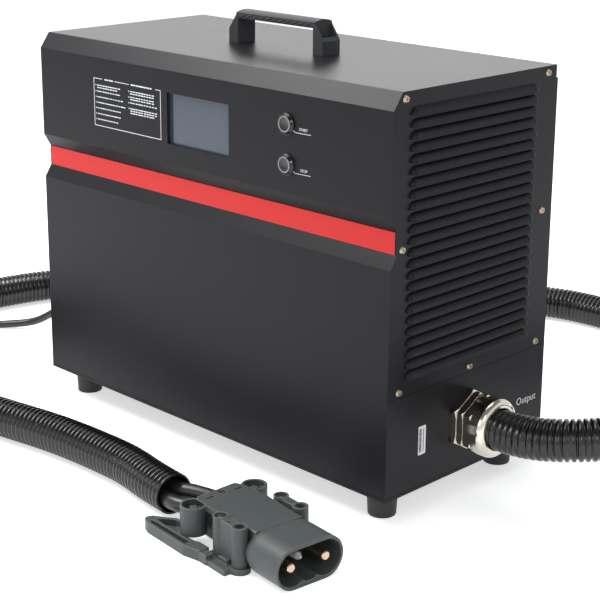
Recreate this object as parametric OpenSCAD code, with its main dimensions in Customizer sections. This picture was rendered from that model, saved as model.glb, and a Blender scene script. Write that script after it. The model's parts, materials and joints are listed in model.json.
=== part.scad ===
// Lithium battery charger: a sheet steel cabinet with louvred sides, a stepped front with two push
// buttons, a corrugated output conduit that ends in a two-pole battery plug, and a mains lead.
// X runs along the front, Y from front to back, Z up. The origin lies on the floor under the
// middle of the cabinet. Cabinet modules are drawn from the front face and the cabinet's underside.

/* [Cabinet] */
// Width across the side covers
body_w = 535; // [500:5:600]
// Depth from the front face to the rear edge of the side covers
body_d = 246; // [230:2:290]
// Height without the feet
body_h = 400; // [390:5:450]
// Thickness of the folded sheets
sheet_t = 2; // [1.5:0.1:2.5]
// Thickness of the floor plate
floor_t = 3; // [2:0.5:4]
// Gap where the edges of two sheets meet
seam = 0.4; // [0.2:0.1:0.8]
// Width of the flanges that take the cover screws
flange_w = 22; // [18:1:26]

/* [Front panel] */
// Height of the slope at the top edge
top_slope_h = 16.5; // [10:0.5:20]
// Depth of the slope at the top edge
top_slope_d = 12; // [8:0.5:16]
// Height of the flat fascia with the display
fascia_h = 99.5; // [90:0.5:110]
// Height of the slope above the red band
upper_slope_h = 14.5; // [8:0.5:20]
// Height of the red band
band_h = 22.5; // [15:0.5:30]
// Height of the slope below the red band
lower_slope_h = 13; // [8:0.5:20]
// Depth at which the red band lies behind the fascia
band_recess = 8.5; // [5:0.5:11]
// Thickness of the red trim strip
band_t = 0.5; // [0.3:0.1:1]

/* [Display] */
// Width of the display window
window_w = 95; // [80:1:110]
// Height of the display window
window_h = 54.5; // [45:0.5:65]
// Height of the window's centre above the lower edge of the fascia
window_up = 49; // [42:1:58]
// Width of the display frame's rim behind the window
lcd_rim = 11; // [6:1:14]
// Depth of the frame's rim, which sets the glass back
lcd_set_back = 2.4; // [1:0.1:4]
// Thickness of the glass
glass_t = 1.8; // [1:0.1:3]

/* [Push buttons] */
// Distance of the buttons from the middle of the front
button_x = 130.5; // [110:0.5:200]
// Distance between the two buttons
button_pitch = 40; // [36:0.5:50]
// Diameter of the bezel on the panel
bezel_d = 22; // [20.5:0.5:24]
// Diameter of the bezel at its front edge
bezel_front_d = 17.6; // [17:0.1:19]
// Height of the bezel in front of the panel
bezel_h = 4.2; // [3:0.1:6]
// Diameter of the threaded barrel
barrel_d = 18.8; // [18.2:0.1:19.6]
// Length of the barrel behind the panel
barrel_len = 26; // [22:1:32]
// Diameter of the moving cap
cap_d = 15.8; // [14.5:0.1:16]
// Length of the moving cap
cap_len = 7; // [6:0.5:9]
// Radial clearance of the cap in its barrel
cap_fit = 0.1; // [0.05:0.01:0.1]
// Travel of the cap
cap_travel = 2.5; // [1.5:0.1:3]
// Width of the light ring in the cap's face
ring_w = 0.9; // [0.6:0.1:1.4]

/* [Side covers] */
// Height of the lower side wall below the louvred cover
skirt_h = 104; // [98:1:112]
// Number of louvres in each cover
louvre_count = 24; // [12:1:24]
// Distance from louvre to louvre
louvre_pitch = 11.1; // [10:0.1:11.3]
// Length of a louvre between the centres of its round ends
louvre_len = 180; // [150:1:190]
// Height by which a louvre stands out of the sheet
louvre_out = 5; // [3:0.1:6.5]
// Height of a louvre on the sheet
louvre_h = 8.4; // [6.5:0.1:9.4]
// Thickness of the pressed louvre skin
louvre_t = 1.2; // [0.8:0.1:1.6]
// Distance of the lowest louvre above the cover's lower edge
louvre_low = 17; // [14:1:24]
// Least distance of the highest louvre below the cover's upper edge
louvre_high = 10; // [8:1:20]

/* [Cover screws] */
// Shank diameter of the cover screws
screw_d = 4; // [3:0.5:5]
// Head diameter of the cover screws
screw_head_d = 7.6; // [6:0.2:9]
// Head height of the cover screws
screw_head_h = 1.8; // [1.2:0.1:3]
// Distance of the screws from the front and rear edges
screw_inset = 14; // [13:0.5:16]
// Clearance round a screw shank
screw_fit = 0.2; // [0.1:0.05:0.4]

/* [Rear panel] */
// Distance by which the rear panel stands behind the covers
rear_out = 5.5; // [4:0.5:8]
// Gap between the rear panel and the rear flange of the top cover
rear_gap = 1; // [0.5:0.5:12]
// Outside width of a fan
fan_size = 120; // [92:1:120]
// Depth of a fan
fan_depth = 38; // [25:1:38]
// Distance of each fan from the middle
fan_x = 92; // [75:1:120]
// Height of the fan centres above the underside
fan_up = 235; // [200:1:260]
// Number of slots in each grille, from the hub outwards
grille_rings = 5; // [3:1:5]

/* [Handle] */
// Overall length of the handle
handle_w = 142; // [130:1:160]
// Depth of the handle
handle_d = 26; // [22:1:30]
// Height of the handle
handle_h = 36; // [32:1:42]
// Thickness of the legs
leg_w = 14; // [12:0.5:16]
// Height of the upright outer wall of each leg
leg_wall_h = 15; // [10:1:18]
// Thickness of the grip bar at its edges
bar_t = 6; // [5:0.5:7.5]
// Height of the crown along the grip bar
bar_crown = 2.6; // [1.5:0.1:3.5]
// Wall thickness round the open pockets
pocket_wall = 2.4; // [1.8:0.1:3]

/* [Feet] */
// Diameter of a foot at the cabinet
foot_d = 32; // [28:0.5:36]
// Diameter of a foot at the floor
foot_tip_d = 28.5; // [24:0.5:32]
// Height of a foot
foot_h = 30; // [24:1:36]
// Distance of a foot's centre from the edges
foot_inset = 31; // [26:1:40]

/* [Output gland] */
// Height of the gland's axis above the cabinet's underside
gland_up = 53; // [46:1:60]
// Diameter of the gland's thread
gland_thread_d = 50; // [47:0.5:52]
// Width across the flats of the locknut
locknut_af = 57.5; // [54:0.5:62]
// Thickness of the locknut
locknut_t = 7; // [5:0.5:9]
// Width across the flats of the gland body and its dome nut
gland_af = 56; // [54:0.5:60]
// Thickness of the gland body's hexagon
gland_hex_t = 8; // [6:0.5:12]
// Length of the dome nut
dome_nut_len = 25; // [20:0.5:32]
// Radius of the dome nut's rounded end
dome_nut_r = 7; // [4:0.5:8]
// Outside diameter of the corrugated conduit
conduit_d = 42.5; // [40:0.5:43]
// Radial clearance of the conduit in the gland
conduit_fit = 0.4; // [0.3:0.1:0.6]

/* [Output cables] */
// Diameter of each power cable
cable_d = 16; // [13:0.5:16]

/* [Battery plug] */
// Length of the plug housing
plug_len = 146; // [140:1:160]
// Width of the plug's mouth
mouth_w = 77.5; // [76:0.5:84]
// Height of the plug's mouth
mouth_h = 42; // [42:0.5:46]
// Depth of the plug's mouth
mouth_depth = 46; // [38:1:50]
// Radius of the round space about each contact pin
lobe_r = 17.5; // [16:0.5:18]
// Distance of the contact pins from the plug's middle plane
pin_v = 20; // [18:0.5:21]
// Diameter of the contact pins
pin_d = 9; // [7:0.5:11]
// Distance of the pin tips behind the mouth's rim
pin_back = 2; // [1:0.5:6]
// Depth at which a contact pin is seated in the housing
pin_seat = 14; // [8:1:20]
// Radial clearance of a contact pin in its seat
pin_fit = 0.05; // [0.02:0.01:0.1]
// Width across the flats of the coding pin
coding_af = 7; // [5:0.5:8]
// Distance of the coding pin's tip behind the mouth's rim
coding_back = 14; // [8:1:24]
// Distance of the side bosses from the middle plane
boss_v = 35.5; // [34:0.5:37]
// Diameter of the screw bosses
screw_boss_d = 15; // [14:0.5:16]
// Diameter of the nut bosses
nut_boss_d = 15.6; // [14:0.2:17]
// Diameter of the rear bosses
rear_boss_d = 26; // [24:0.5:28]
// Height of the side bosses
boss_top = 45; // [43.5:0.5:48]
// Height of the hooked arm of the plug's side handle
arm_h = 11; // [9:0.5:13]

/* [Mains side] */
// Diameter of the mains gland's thread
mains_thread_d = 20; // [16:0.5:25]
// Width across the flats of the mains gland
mains_af = 25; // [24:0.5:32]
// Height of the mains gland's axis above the cabinet's underside
mains_up = 50; // [40:1:60]
// Diameter of the mains lead
mains_d = 10; // [8:0.5:10]
// Length of the tapered strain relief
boot_len = 30; // [24:1:40]
// Diameter of the mains plug
mains_plug_d = 38; // [34:1:42]
// Length of the mains plug's round body
mains_plug_len = 36; // [30:1:44]

/* [Inner pieces] */
// Width of the heatsink and of the board on it
sink_w = 220; // [180:5:240]
// Depth of the heatsink and of the board on it
sink_d = 90; // [70:5:95]
// Height of the heatsink with its fins
sink_h = 48; // [36:1:60]
// Distance of the heatsink from the left wall
sink_side = 117.5; // [80:2.5:140]
// Width of the transformer's core
core_w = 110; // [90:5:120]
// Depth of the transformer's core
core_d = 90; // [70:5:100]
// Height of the transformer's core
core_h = 100; // [80:5:120]
// Distance of the transformer from the right wall
core_side = 57.5; // [40:2.5:80]
// Diameter of a capacitor
capacitor_d = 32; // [25:1:36]
// Height of a capacitor
capacitor_h = 60; // [40:2:80]
// Width of the contactor
contactor_w = 60; // [44:2:70]
// Height of the contactor's housing
contactor_h = 66; // [50:2:80]

/* [Hidden] */
$fn = 64;
// Overlap of a cut or a join past a face
eps = 0.1;
half_w = body_w / 2;
// Front face of the cabinet, so that bezels and rear screw heads lie at equal distances from the middle
front_y = (bezel_h - body_d - rear_out - screw_head_h) / 2;
// Heights of the folds of the front panel above the cabinet's underside
lower_h = body_h - top_slope_h - fascia_h - upper_slope_h - band_h - lower_slope_h;
band_low = lower_h + lower_slope_h;
band_high = band_low + band_h;
fascia_low = band_high + upper_slope_h;
fascia_high = fascia_low + fascia_h;
window_z = fascia_low + window_up;
start_z = window_z + button_pitch / 2;
stop_z = window_z - button_pitch / 2;
// Outline of the front as Y and Z points from the floor plate to the top edge
front_line = [
    [0, floor_t + seam], [0, lower_h], [band_recess, band_low], [band_recess, band_high],
    [0, fascia_low], [0, fascia_high], [top_slope_d, body_h]
];
top_flange_h = 13;
cover_low = skirt_h + seam;
// Heights of the rows of cover screws
screw_top_z = body_h - top_flange_h / 2 - 0.5;
screw_mid_z = (band_low + band_high) / 2 - 7;
screw_low_z = cover_low + 5.5;
cover_screw_yz = [
    [screw_inset + 2, screw_top_z], [body_d - screw_inset, screw_top_z],
    [screw_inset + 2, screw_mid_z], [body_d - screw_inset, screw_mid_z],
    [screw_inset + 2, screw_low_z], [body_d / 2, screw_low_z], [body_d - screw_inset, screw_low_z]
];
screw_len = 2 * sheet_t + 4;
// Curve of a louvre: an arc that leaves the sheet at the top and stands upright at the open edge
louvre_c = (louvre_h * louvre_h - louvre_out * louvre_out) / (2 * louvre_out);
louvre_r = louvre_out + louvre_c;
louvre_steps = 3;
// A lower cover has fewer louvres: as many of them as fit between its two edges
louvre_room = body_h - louvre_high - louvre_h - cover_low - louvre_low;
louvre_rows = min(louvre_count, 1 + floor(louvre_room / louvre_pitch));
rear_h = body_h - top_flange_h - rear_gap;
fan_back = body_d + rear_out - sheet_t;
fan_bore = fan_size - 6;
fan_hub_d = 46;
fan_hole_pitch = fan_size * 0.875;
shaft_d = 8;
shaft_fit = 0.05;
blade_count = 7;
fan_screw_len = 16;
grip_in = handle_w / 2 - leg_w;
handle_hole_x = handle_w / 2 - leg_w / 2;
gland_z = foot_h + gland_up;
mains_z = foot_h + mains_up;
gland_bore = conduit_d + 2 * conduit_fit;
gland_out = locknut_t + gland_hex_t;
gland_wall_in = 12;
dome_nut_end = gland_out + dome_nut_len;
plug_axis_z = mouth_h / 2;
plug_pos = [144.4, -232.5, 0];
plug_turn = -6.5;
rear_boss_u = 14;
screw_boss_u = 57.5;
nut_boss_u = 87;
rear_boss_v = 36;
rear_boss_top = 40;
bracket_t = 5.5;
web_t = 9;
// Half width of the plug's body, and the clearance between the housing and its side handle
body_half_v = 27;
part_gap = 0.3;
// Least distance between the heatsink and the transformer
core_gap = 5;
// Turns of the mains lead: centre, mean radius, width and height of the wound ring
coil_pos = [-465, -160];
coil_r = 50;
coil_w = 20;
coil_h = 30;
// The mains plug lies across the ring, so that nothing stands before its pins
mains_plug_pos = [-478, -193.5, coil_h + part_gap + mains_plug_d / 2];
mains_plug_turn = 330;
mains_cone_len = 30;
conduit_sides = 12;
cable_sides = 8;
// Route of the conduit from inside the gland, round behind the cabinet and back to the front
conduit_route = [
    [284, 0, 83], [322, 0, 83], [352, 4, 85], [384, 19, 89], [409, 46, 91], [422, 82, 90],
    [426, 125, 84], [426, 190, 68], [426, 270, 40], [426, 340, 24], [420, 410, 21.5],
    [391, 472, 21.5], [341, 519, 21.5], [277, 543, 21.5], [205, 546, 21.5], [130, 546, 21.5],
    [62, 546, 21.5], [12, 541, 21.5], [-34, 524, 21.5], [-80, 492, 21.5], [-160, 428, 21.5],
    [-250, 362, 21.5], [-340, 299, 21.5], [-430, 233, 21.5], [-505, 166, 21.5], [-556, 90, 21.5],
    [-578, 10, 21.5], [-578, -50, 21.5], [-578, -100, 21.5], [-565, -166, 21.5],
    [-528, -222, 21.5], [-472, -259, 21.5], [-406, -272, 21.5], [-300, -266, 21.5],
    [-194, -250, 21.5], [-102, -235, 21.5], [-5, -231, 21.5], [55, -239, 21.5],
    [95, -243.5, 21.5]
];
// Routes of the two power cables from the conduit's end into the plug
far_route = [
    [94, -235.5, 24.5], [112, -231, 25], [131, -225, 24], [146, -220.3, 21.5], [157.5, -221.4, 21]
];
near_route = [
    [93, -251.5, 18.7], [110, -252.5, 19.5], [128, -249, 20.3], [143, -245, 21], [154.8, -246.3, 21]
];
// Route of the mains lead from its strain relief to the coil, and from the coil to its plug
mains_route = [
    [-290, 0, 80], [-330, 0, 80], [-365, 0, 70], [-400, 0, 52], [-432, -2, 31], [-465, -13, 12],
    [-500, -38, 5.2], [-513, -53, 5.2], [-520, -78, 5.2], [-520, -136, 5.2]
];
mains_tail = [
    [-465, -115, 25.2], [-485, -120.5, 27.5], [-499.5, -135, 32], [-505, -155, 38.5],
    [-499.5, -175, 45], [-484.9, -189.5, 49.3], [-472.8, -196.5, 49.3]
];

// Shapes used by more than one piece
// Draws a Y and Z outline out along X from x0
module along_x(x0, len) {
    translate([x0, 0, 0]) rotate([90, 0, 90]) linear_extrude(len) children();
}
// Draws an X and Z outline out along Y from y0
module along_y(y0, len) {
    translate([0, y0 + len, 0]) rotate([90, 0, 0]) linear_extrude(len) children();
}
module rod_x(d, x0, len) { translate([x0, 0, 0]) rotate([0, 90, 0]) cylinder(d = d, h = len); }
module rod_y(d, y0, len) { translate([0, y0, 0]) rotate([-90, 0, 0]) cylinder(d = d, h = len); }
// Hexagon by its width across the flats, drawn out along X
module hex_x(af, x0, len) {
    translate([x0, 0, 0]) rotate([0, 90, 0]) cylinder(d = af / cos(30), h = len, $fn = 6);
}
// Hexagon whose corners are turned off at both faces, as on a machined nut
module turned_hex_x(af, x0, len, chamfer) {
    corner_d = af / cos(30);
    intersection() {
        hex_x(af, x0, len);
        translate([x0, 0, 0]) rotate([0, 90, 0]) rotate_extrude() polygon([
            [0, 0], [corner_d / 2 - chamfer, 0], [corner_d / 2 + eps, chamfer * 0.7],
            [corner_d / 2 + eps, len - chamfer * 0.7], [corner_d / 2 - chamfer, len], [0, len]
        ]);
    }
}
// Pan head screw along +X with its head on the plane x = 0 and a cross recess
module pan_screw_x(d, head_d, head_h, len) {
    recess = head_d * 0.5;
    difference() {
        union() {
            rod_x(d, -len, len + eps);
            rotate([0, 90, 0]) cylinder(d1 = head_d, d2 = head_d * 0.72, h = head_h);
        }
        for (turn = [0, 90]) rotate([turn, 0, 0])
            translate([head_h * 0.45, -recess / 2, -head_d * 0.06]) cube([head_h, recess, head_d * 0.12]);
    }
}
module in_cabinet() { translate([0, front_y, foot_h]) children(); }
module at_plug() { translate(plug_pos) rotate([0, 0, plug_turn]) children(); }
module at_mains_plug() {
    translate(mains_plug_pos) rotate([0, 0, mains_plug_turn]) children();
}
// Clearance hole of one cover screw through the sheets of one side
module cover_hole(side, i) {
    scale([side, 1, 1]) translate([0, cover_screw_yz[i][0], cover_screw_yz[i][1]])
        rod_x(screw_d + 2 * screw_fit, half_w - 3 * sheet_t, 3 * sheet_t);
}
module mirrored(is_left) { if (is_left) mirror([1, 0, 0]) children(); else children(); }

// Unit vector, and a ring of points square to a route at one of its points
function unit(v) = v / norm(v);
function along(route, i) = unit(route[min(i + 1, len(route) - 1)] - route[max(i - 1, 0)]);
function level(t) = unit(cross([0, 0, 1], t));
function ring(route, i, r, sides) = let (t = along(route, i), a = level(t), b = cross(t, a))
    [for (k = [0 : sides - 1]) route[i] + r * (cos(360 * k / sides) * a + sin(360 * k / sides) * b)];
// Tube of one diameter swept along the points of a route
module tube(route, d, sides) {
    n = len(route);
    points = [for (i = [0 : n - 1]) each ring(route, i, d / 2, sides)];
    start = [for (k = [0 : sides - 1]) k];
    end = [for (k = [0 : sides - 1]) n * sides - 1 - k];
    walls = [for (i = [0 : n - 2]) for (k = [0 : sides - 1]) let (m = (k + 1) % sides)
        each [[i * sides + k, (i + 1) * sides + k, i * sides + m],
              [i * sides + m, (i + 1) * sides + k, (i + 1) * sides + m]]];
    polyhedron(points = points, faces = concat([start], [end], walls));
}

// Floor plate with a folded lip behind the front panel
module base_tray() {
    color([0.07, 0.07, 0.08]) in_cabinet() difference() {
        union() {
            translate([-half_w, 0, 0]) cube([body_w, body_d, floor_t]);
            translate([-half_w + 2 * sheet_t + seam, sheet_t, floor_t - eps])
                cube([body_w - 4 * sheet_t - 2 * seam, sheet_t, 14]);
        }
        for (x = [-1, 1], y = [foot_inset, body_d - foot_inset])
            translate([x * (half_w - foot_inset), y, -eps]) cylinder(d = 6, h = floor_t + 2 * eps);
    }
}

// Lower side wall with the flange that takes the middle cover screw
module skirt(hole_d) {
    in_cabinet() difference() {
        union() {
            translate([half_w - sheet_t, 0, floor_t + seam])
                cube([sheet_t, body_d, skirt_h - floor_t - seam]);
            translate([half_w - 2 * sheet_t, flange_w + 1, skirt_h - 12])
                cube([sheet_t + eps, body_d - 2 * flange_w - 2, 12]);
            translate([half_w - 2 * sheet_t, flange_w + 1, skirt_h - 12])
                cube([sheet_t, body_d - 2 * flange_w - 2, 24]);
        }
        translate([0, body_d / 2, screw_low_z])
            rod_x(screw_d + 2 * screw_fit, half_w - 3 * sheet_t, 3 * sheet_t);
        translate([0, -front_y, 0]) children();
    }
}
module skirt_right() {
    color([0.09, 0.09, 0.1]) skirt()
        translate([0, 0, gland_up]) rod_x(gland_thread_d + 1, half_w - 3 * sheet_t, 4 * sheet_t);
}
module skirt_left() {
    color([0.09, 0.09, 0.1]) mirror([1, 0, 0]) skirt()
        translate([0, 0, mains_up]) rod_x(mains_thread_d + 0.6, half_w - 3 * sheet_t, 4 * sheet_t);
}

// Folded front sheet: stepped face, side flanges, top lip, window and button holes
module front_panel() {
    inner_w = half_w - sheet_t;
    back_line = [for (i = [len(front_line) - 1 : -1 : 0]) front_line[i] + [sheet_t, 0]];
    color([0.1, 0.1, 0.11]) in_cabinet() difference() {
        union() {
            along_x(-inner_w, 2 * inner_w) polygon(concat(front_line, back_line));
            for (x = [-inner_w, inner_w - sheet_t]) along_x(x, sheet_t) polygon(concat(
                [for (i = [0 : 5]) front_line[i]],
                [[flange_w, fascia_high], [flange_w, floor_t + seam]]
            ));
            translate([-inner_w + sheet_t + seam, top_slope_d - 1, body_h - 2 * sheet_t - seam])
                cube([2 * (inner_w - sheet_t - seam), 14, sheet_t]);
        }
        translate([-window_w / 2, -1, window_z - window_h / 2]) cube([window_w, sheet_t + 2, window_h]);
        for (z = [start_z, stop_z]) translate([button_x, 0, z]) rod_y(barrel_d + 0.3, -1, sheet_t + 2);
        for (s = [-1, 1], i = [2, 4]) cover_hole(s, i);
    }
}

module red_band() {
    color([0.85, 0.08, 0.07]) in_cabinet()
        translate([-half_w + sheet_t + seam, band_recess - band_t, band_low + seam])
            cube([body_w - 2 * sheet_t - 2 * seam, band_t, band_h - 2 * seam]);
}

// Top sheet with side flanges behind the covers and a rear flange
module top_cover() {
    inner_w = half_w - sheet_t;
    plate_y = top_slope_d + sheet_t + seam;
    flange_y = plate_y - sheet_t + 0.6;
    color([0.1, 0.1, 0.11]) in_cabinet() difference() {
        union() {
            translate([-inner_w, plate_y, body_h - sheet_t]) cube([2 * inner_w, body_d - plate_y, sheet_t]);
            for (x = [-inner_w, inner_w - sheet_t]) translate([x, flange_y, body_h - top_flange_h])
                cube([sheet_t, body_d - flange_y, top_flange_h - sheet_t]);
            for (x = [-inner_w, inner_w - sheet_t]) translate([x, plate_y, body_h - top_flange_h])
                cube([sheet_t, body_d - plate_y, top_flange_h]);
            translate([-inner_w, body_d - sheet_t, body_h - top_flange_h])
                cube([2 * inner_w, sheet_t, top_flange_h]);
        }
        for (s = [-1, 1], i = [0, 1]) cover_hole(s, i);
        for (x = [-1, 1]) translate([x * handle_hole_x, body_d / 2, body_h - sheet_t - 1])
            cylinder(d = 5.6, h = sheet_t + 2);
    }
}

// Slots of one fan grille: rings broken by four webs
module grille_slots() {
    slot = (fan_bore - fan_hub_d + 16) / 2 / grille_rings * 0.66;
    pitch = (fan_bore - fan_hub_d + 16) / 2 / grille_rings;
    for (i = [0 : grille_rings - 1]) {
        r = (fan_hub_d - 16) / 2 + i * pitch;
        difference() {
            rod_y(2 * (r + slot), -1, sheet_t + 2);
            rod_y(2 * r, -2, sheet_t + 4);
            for (turn = [45, 135]) rotate([0, turn, 0])
                translate([-fan_bore, -3, -2.5]) cube([2 * fan_bore, sheet_t + 6, 5]);
        }
    }
}

// Rear tray: a plate behind the covers whose side flanges reach inside them
module rear_panel() {
    inner_w = half_w - sheet_t;
    plate_low = floor_t + seam;
    color([0.09, 0.09, 0.1]) in_cabinet() difference() {
        union() {
            translate([-inner_w, fan_back, plate_low]) cube([2 * inner_w, sheet_t, rear_h - plate_low]);
            for (x = [-inner_w, inner_w - sheet_t]) translate([x, body_d - flange_w, plate_low])
                cube([sheet_t, flange_w + rear_out, rear_h - plate_low]);
            translate([-inner_w, body_d - flange_w, plate_low])
                cube([2 * inner_w, flange_w + rear_out, sheet_t]);
            translate([-inner_w, body_d + seam, rear_h - sheet_t])
                cube([2 * inner_w, rear_out - seam, sheet_t]);
        }
        for (s = [-1, 1], i = [3, 6]) cover_hole(s, i);
        for (x = [-1, 1]) translate([x * fan_x, fan_back, fan_up]) {
            grille_slots();
            for (sx = [-1, 1], sz = [-1, 1])
                translate([sx * fan_hole_pitch / 2, 0, sz * fan_hole_pitch / 2]) rod_y(4.4, -1, sheet_t + 2);
        }
    }
}

// Cross section of a louvre, out along X and up along Z, grown outwards by a signed amount
function louvre_line(grow, back) = let (r = louvre_r + grow, top = sqrt(r * r - louvre_c * louvre_c),
    sweep = asin(top / r)) concat([[-back, 0]],
    [for (i = [0 : louvre_steps]) let (a = sweep * i / louvre_steps) [r * cos(a) - louvre_c, r * sin(a)]],
    back > 0 ? [[-back, top]] : []);
// One pressed louvre: straight hood with half round ends
module louvre_form(grow, back) {
    rotate([90, 0, 0]) translate([0, 0, -louvre_len / 2]) linear_extrude(louvre_len)
        polygon(louvre_line(grow, back));
    for (y = [-1, 1]) translate([0, y * louvre_len / 2, 0]) rotate([0, 0, -90])
        rotate_extrude(angle = 180) polygon(louvre_line(grow, 0));
}
// Louvred cover: follows the stepped front, with a slot in the sheet under each hood
module side_cover() {
    first = cover_low + louvre_low;
    in_cabinet() difference() {
        union() {
            along_x(half_w - sheet_t, sheet_t) polygon(concat(
                [[0, cover_low]], [for (i = [1 : 6]) front_line[i]], [[body_d, body_h], [body_d, cover_low]]
            ));
            for (i = [0 : louvre_rows - 1])
                translate([half_w - 0.01, body_d / 2 - 4, first + i * louvre_pitch]) louvre_form(0, 0.5);
        }
        for (i = [0 : louvre_rows - 1])
            translate([half_w, body_d / 2 - 4, first + i * louvre_pitch - eps])
                louvre_form(-louvre_t, sheet_t + 1);
        for (p = cover_screw_yz) translate([0, p[0], p[1]])
            rod_x(screw_d + 2 * screw_fit, half_w - 2 * sheet_t, 3 * sheet_t);
    }
}
module side_cover_right() { color([0.1, 0.1, 0.11]) side_cover(); }
module side_cover_left() { color([0.1, 0.1, 0.11]) mirror([1, 0, 0]) side_cover(); }

module cover_screws() {
    color([0.75, 0.75, 0.74]) in_cabinet() for (is_left = [false, true]) mirrored(is_left)
        for (p = cover_screw_yz) translate([half_w, p[0], p[1]])
            pan_screw_x(screw_d, screw_head_d, screw_head_h, screw_len);
}

// Display: a plastic frame behind the fascia, the glass, and the board on its back
lcd_w = window_w + 2 * lcd_rim;
lcd_h = window_h + 2 * lcd_rim;
glass_w = window_w + lcd_rim;
glass_h = window_h + lcd_rim;
glass_y = sheet_t + lcd_set_back;
board_y = glass_y + glass_t + 4;
module box_xz(w, h, y0, depth) { translate([-w / 2, y0, window_z - h / 2]) cube([w, depth, h]); }
module lcd_frame() {
    color([0.03, 0.03, 0.03]) in_cabinet() difference() {
        box_xz(lcd_w, lcd_h, sheet_t, board_y - sheet_t);
        box_xz(window_w + 0.6, window_h + 0.6, sheet_t - 1, board_y);
        box_xz(glass_w + 0.4, glass_h + 0.4, glass_y, board_y);
    }
}
module lcd_glass() {
    color([0.35, 0.4, 0.47]) in_cabinet() box_xz(glass_w, glass_h, glass_y, glass_t);
}
module lcd_board() {
    color([0.05, 0.3, 0.15]) in_cabinet() union() {
        box_xz(lcd_w, lcd_h, board_y, 1.6);
        box_xz(lcd_w * 0.5, lcd_h * 0.4, board_y + 1.6 - eps, 6);
        box_xz(glass_w - 4, glass_h - 4, glass_y + glass_t, board_y - glass_y - glass_t + eps);
    }
}

// Push button: bezel and barrel in one, a sprung cap, and a light ring set in the cap's face
cap_bore = cap_d + 2 * cap_fit;
module at_button(z) { in_cabinet() translate([button_x, 0, z]) children(); }
module button_body() {
    difference() {
        union() {
            rod_y(bezel_d, -1.4, 1.4);
            translate([0, -bezel_h, 0]) rotate([-90, 0, 0])
                cylinder(d1 = bezel_front_d, d2 = bezel_d - 1, h = bezel_h - 1.4 + eps);
            rod_y(barrel_d, -eps, barrel_len + eps);
            rod_y(barrel_d - 4, barrel_len - eps, 4);
            for (x = [-4, 4], z = [-2.9, 2.1]) translate([x, barrel_len + 4 - eps, z]) cube([2, 6, 0.8]);
        }
        rod_y(cap_bore, -bezel_h - 1, cap_len + cap_travel + 1.5);
    }
}
module button_cap() {
    ring_out = cap_d - 0.4;
    difference() {
        rod_y(cap_d, -bezel_h + 0.4, cap_len);
        difference() {
            rod_y(ring_out, -bezel_h - 1, 1.9);
            rod_y(ring_out - 2 * ring_w, -bezel_h - 2, 4);
        }
        translate([0, -bezel_h + 0.4 - 30.6, 0]) sphere(r = 31.4);
    }
}
module button_ring() {
    ring_out = cap_d - 0.4;
    difference() {
        rod_y(ring_out - 0.04, -bezel_h + 0.3, 0.6);
        rod_y(ring_out - 2 * ring_w + 0.04, -bezel_h - 1, 4);
    }
}
module start_body() { color([0.12, 0.12, 0.13]) at_button(start_z) button_body(); }
module stop_body() { color([0.12, 0.12, 0.13]) at_button(stop_z) button_body(); }
module start_cap() { color([0.08, 0.08, 0.09]) at_button(start_z) button_cap(); }
module stop_cap() { color([0.08, 0.08, 0.09]) at_button(stop_z) button_cap(); }
module start_ring() { color([0.8, 0.8, 0.8]) at_button(start_z) button_ring(); }
module stop_ring() { color([0.8, 0.8, 0.8]) at_button(stop_z) button_ring(); }
module button_nuts() {
    color([0.6, 0.58, 0.55]) for (z = [start_z, stop_z]) at_button(z) difference() {
        translate([0, sheet_t, 0]) rotate([-90, 0, 0]) cylinder(d = 22 / cos(30), h = 3.5, $fn = 6);
        rod_y(barrel_d + 0.1, 0, 10);
    }
}

// Bridge handle: crowned grip bar, legs with sloped backs and open pockets
module handle_leg() {
    slope_top = handle_h - bar_t - bar_crown + 4;
    difference() {
        union() {
            along_y(-handle_d / 2, handle_d) polygon([
                [grip_in, 0], [grip_in + leg_w, 0], [grip_in + leg_w, leg_wall_h],
                [grip_in + pocket_wall, slope_top], [grip_in, slope_top]
            ]);
            intersection() {
                translate([grip_in + leg_w - 30, 0, 0]) cylinder(r = 32, h = leg_wall_h);
                translate([grip_in + leg_w - 1, -handle_d / 2 + 1, 0]) cube([5, handle_d - 2, leg_wall_h]);
            }
        }
        translate([grip_in + pocket_wall, -handle_d / 2 + pocket_wall, 3])
            cube([leg_w - 2 * pocket_wall, handle_d - 2 * pocket_wall, handle_h]);
        translate([handle_hole_x, 0, -1]) cylinder(d = 5.4, h = 6);
    }
}
module handle() {
    bar_low = handle_h - bar_t - bar_crown;
    crown_r = (handle_d * handle_d / 4 + bar_crown * bar_crown) / (2 * bar_crown);
    color([0.11, 0.11, 0.12]) in_cabinet() translate([0, body_d / 2, body_h]) union() {
        handle_leg();
        mirror([1, 0, 0]) handle_leg();
        intersection() {
            translate([-grip_in - pocket_wall, -handle_d / 2, bar_low])
                cube([2 * grip_in + 2 * pocket_wall, handle_d, handle_h]);
            translate([0, 0, handle_h - crown_r]) rod_x(2 * crown_r, -handle_w, 2 * handle_w);
        }
    }
}
module handle_screws() {
    color([0.7, 0.7, 0.7]) in_cabinet() for (x = [-1, 1])
        translate([x * handle_hole_x, body_d / 2, body_h + 3]) rotate([0, -90, 0])
            pan_screw_x(5, 8.6, 3, 14);
}

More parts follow.
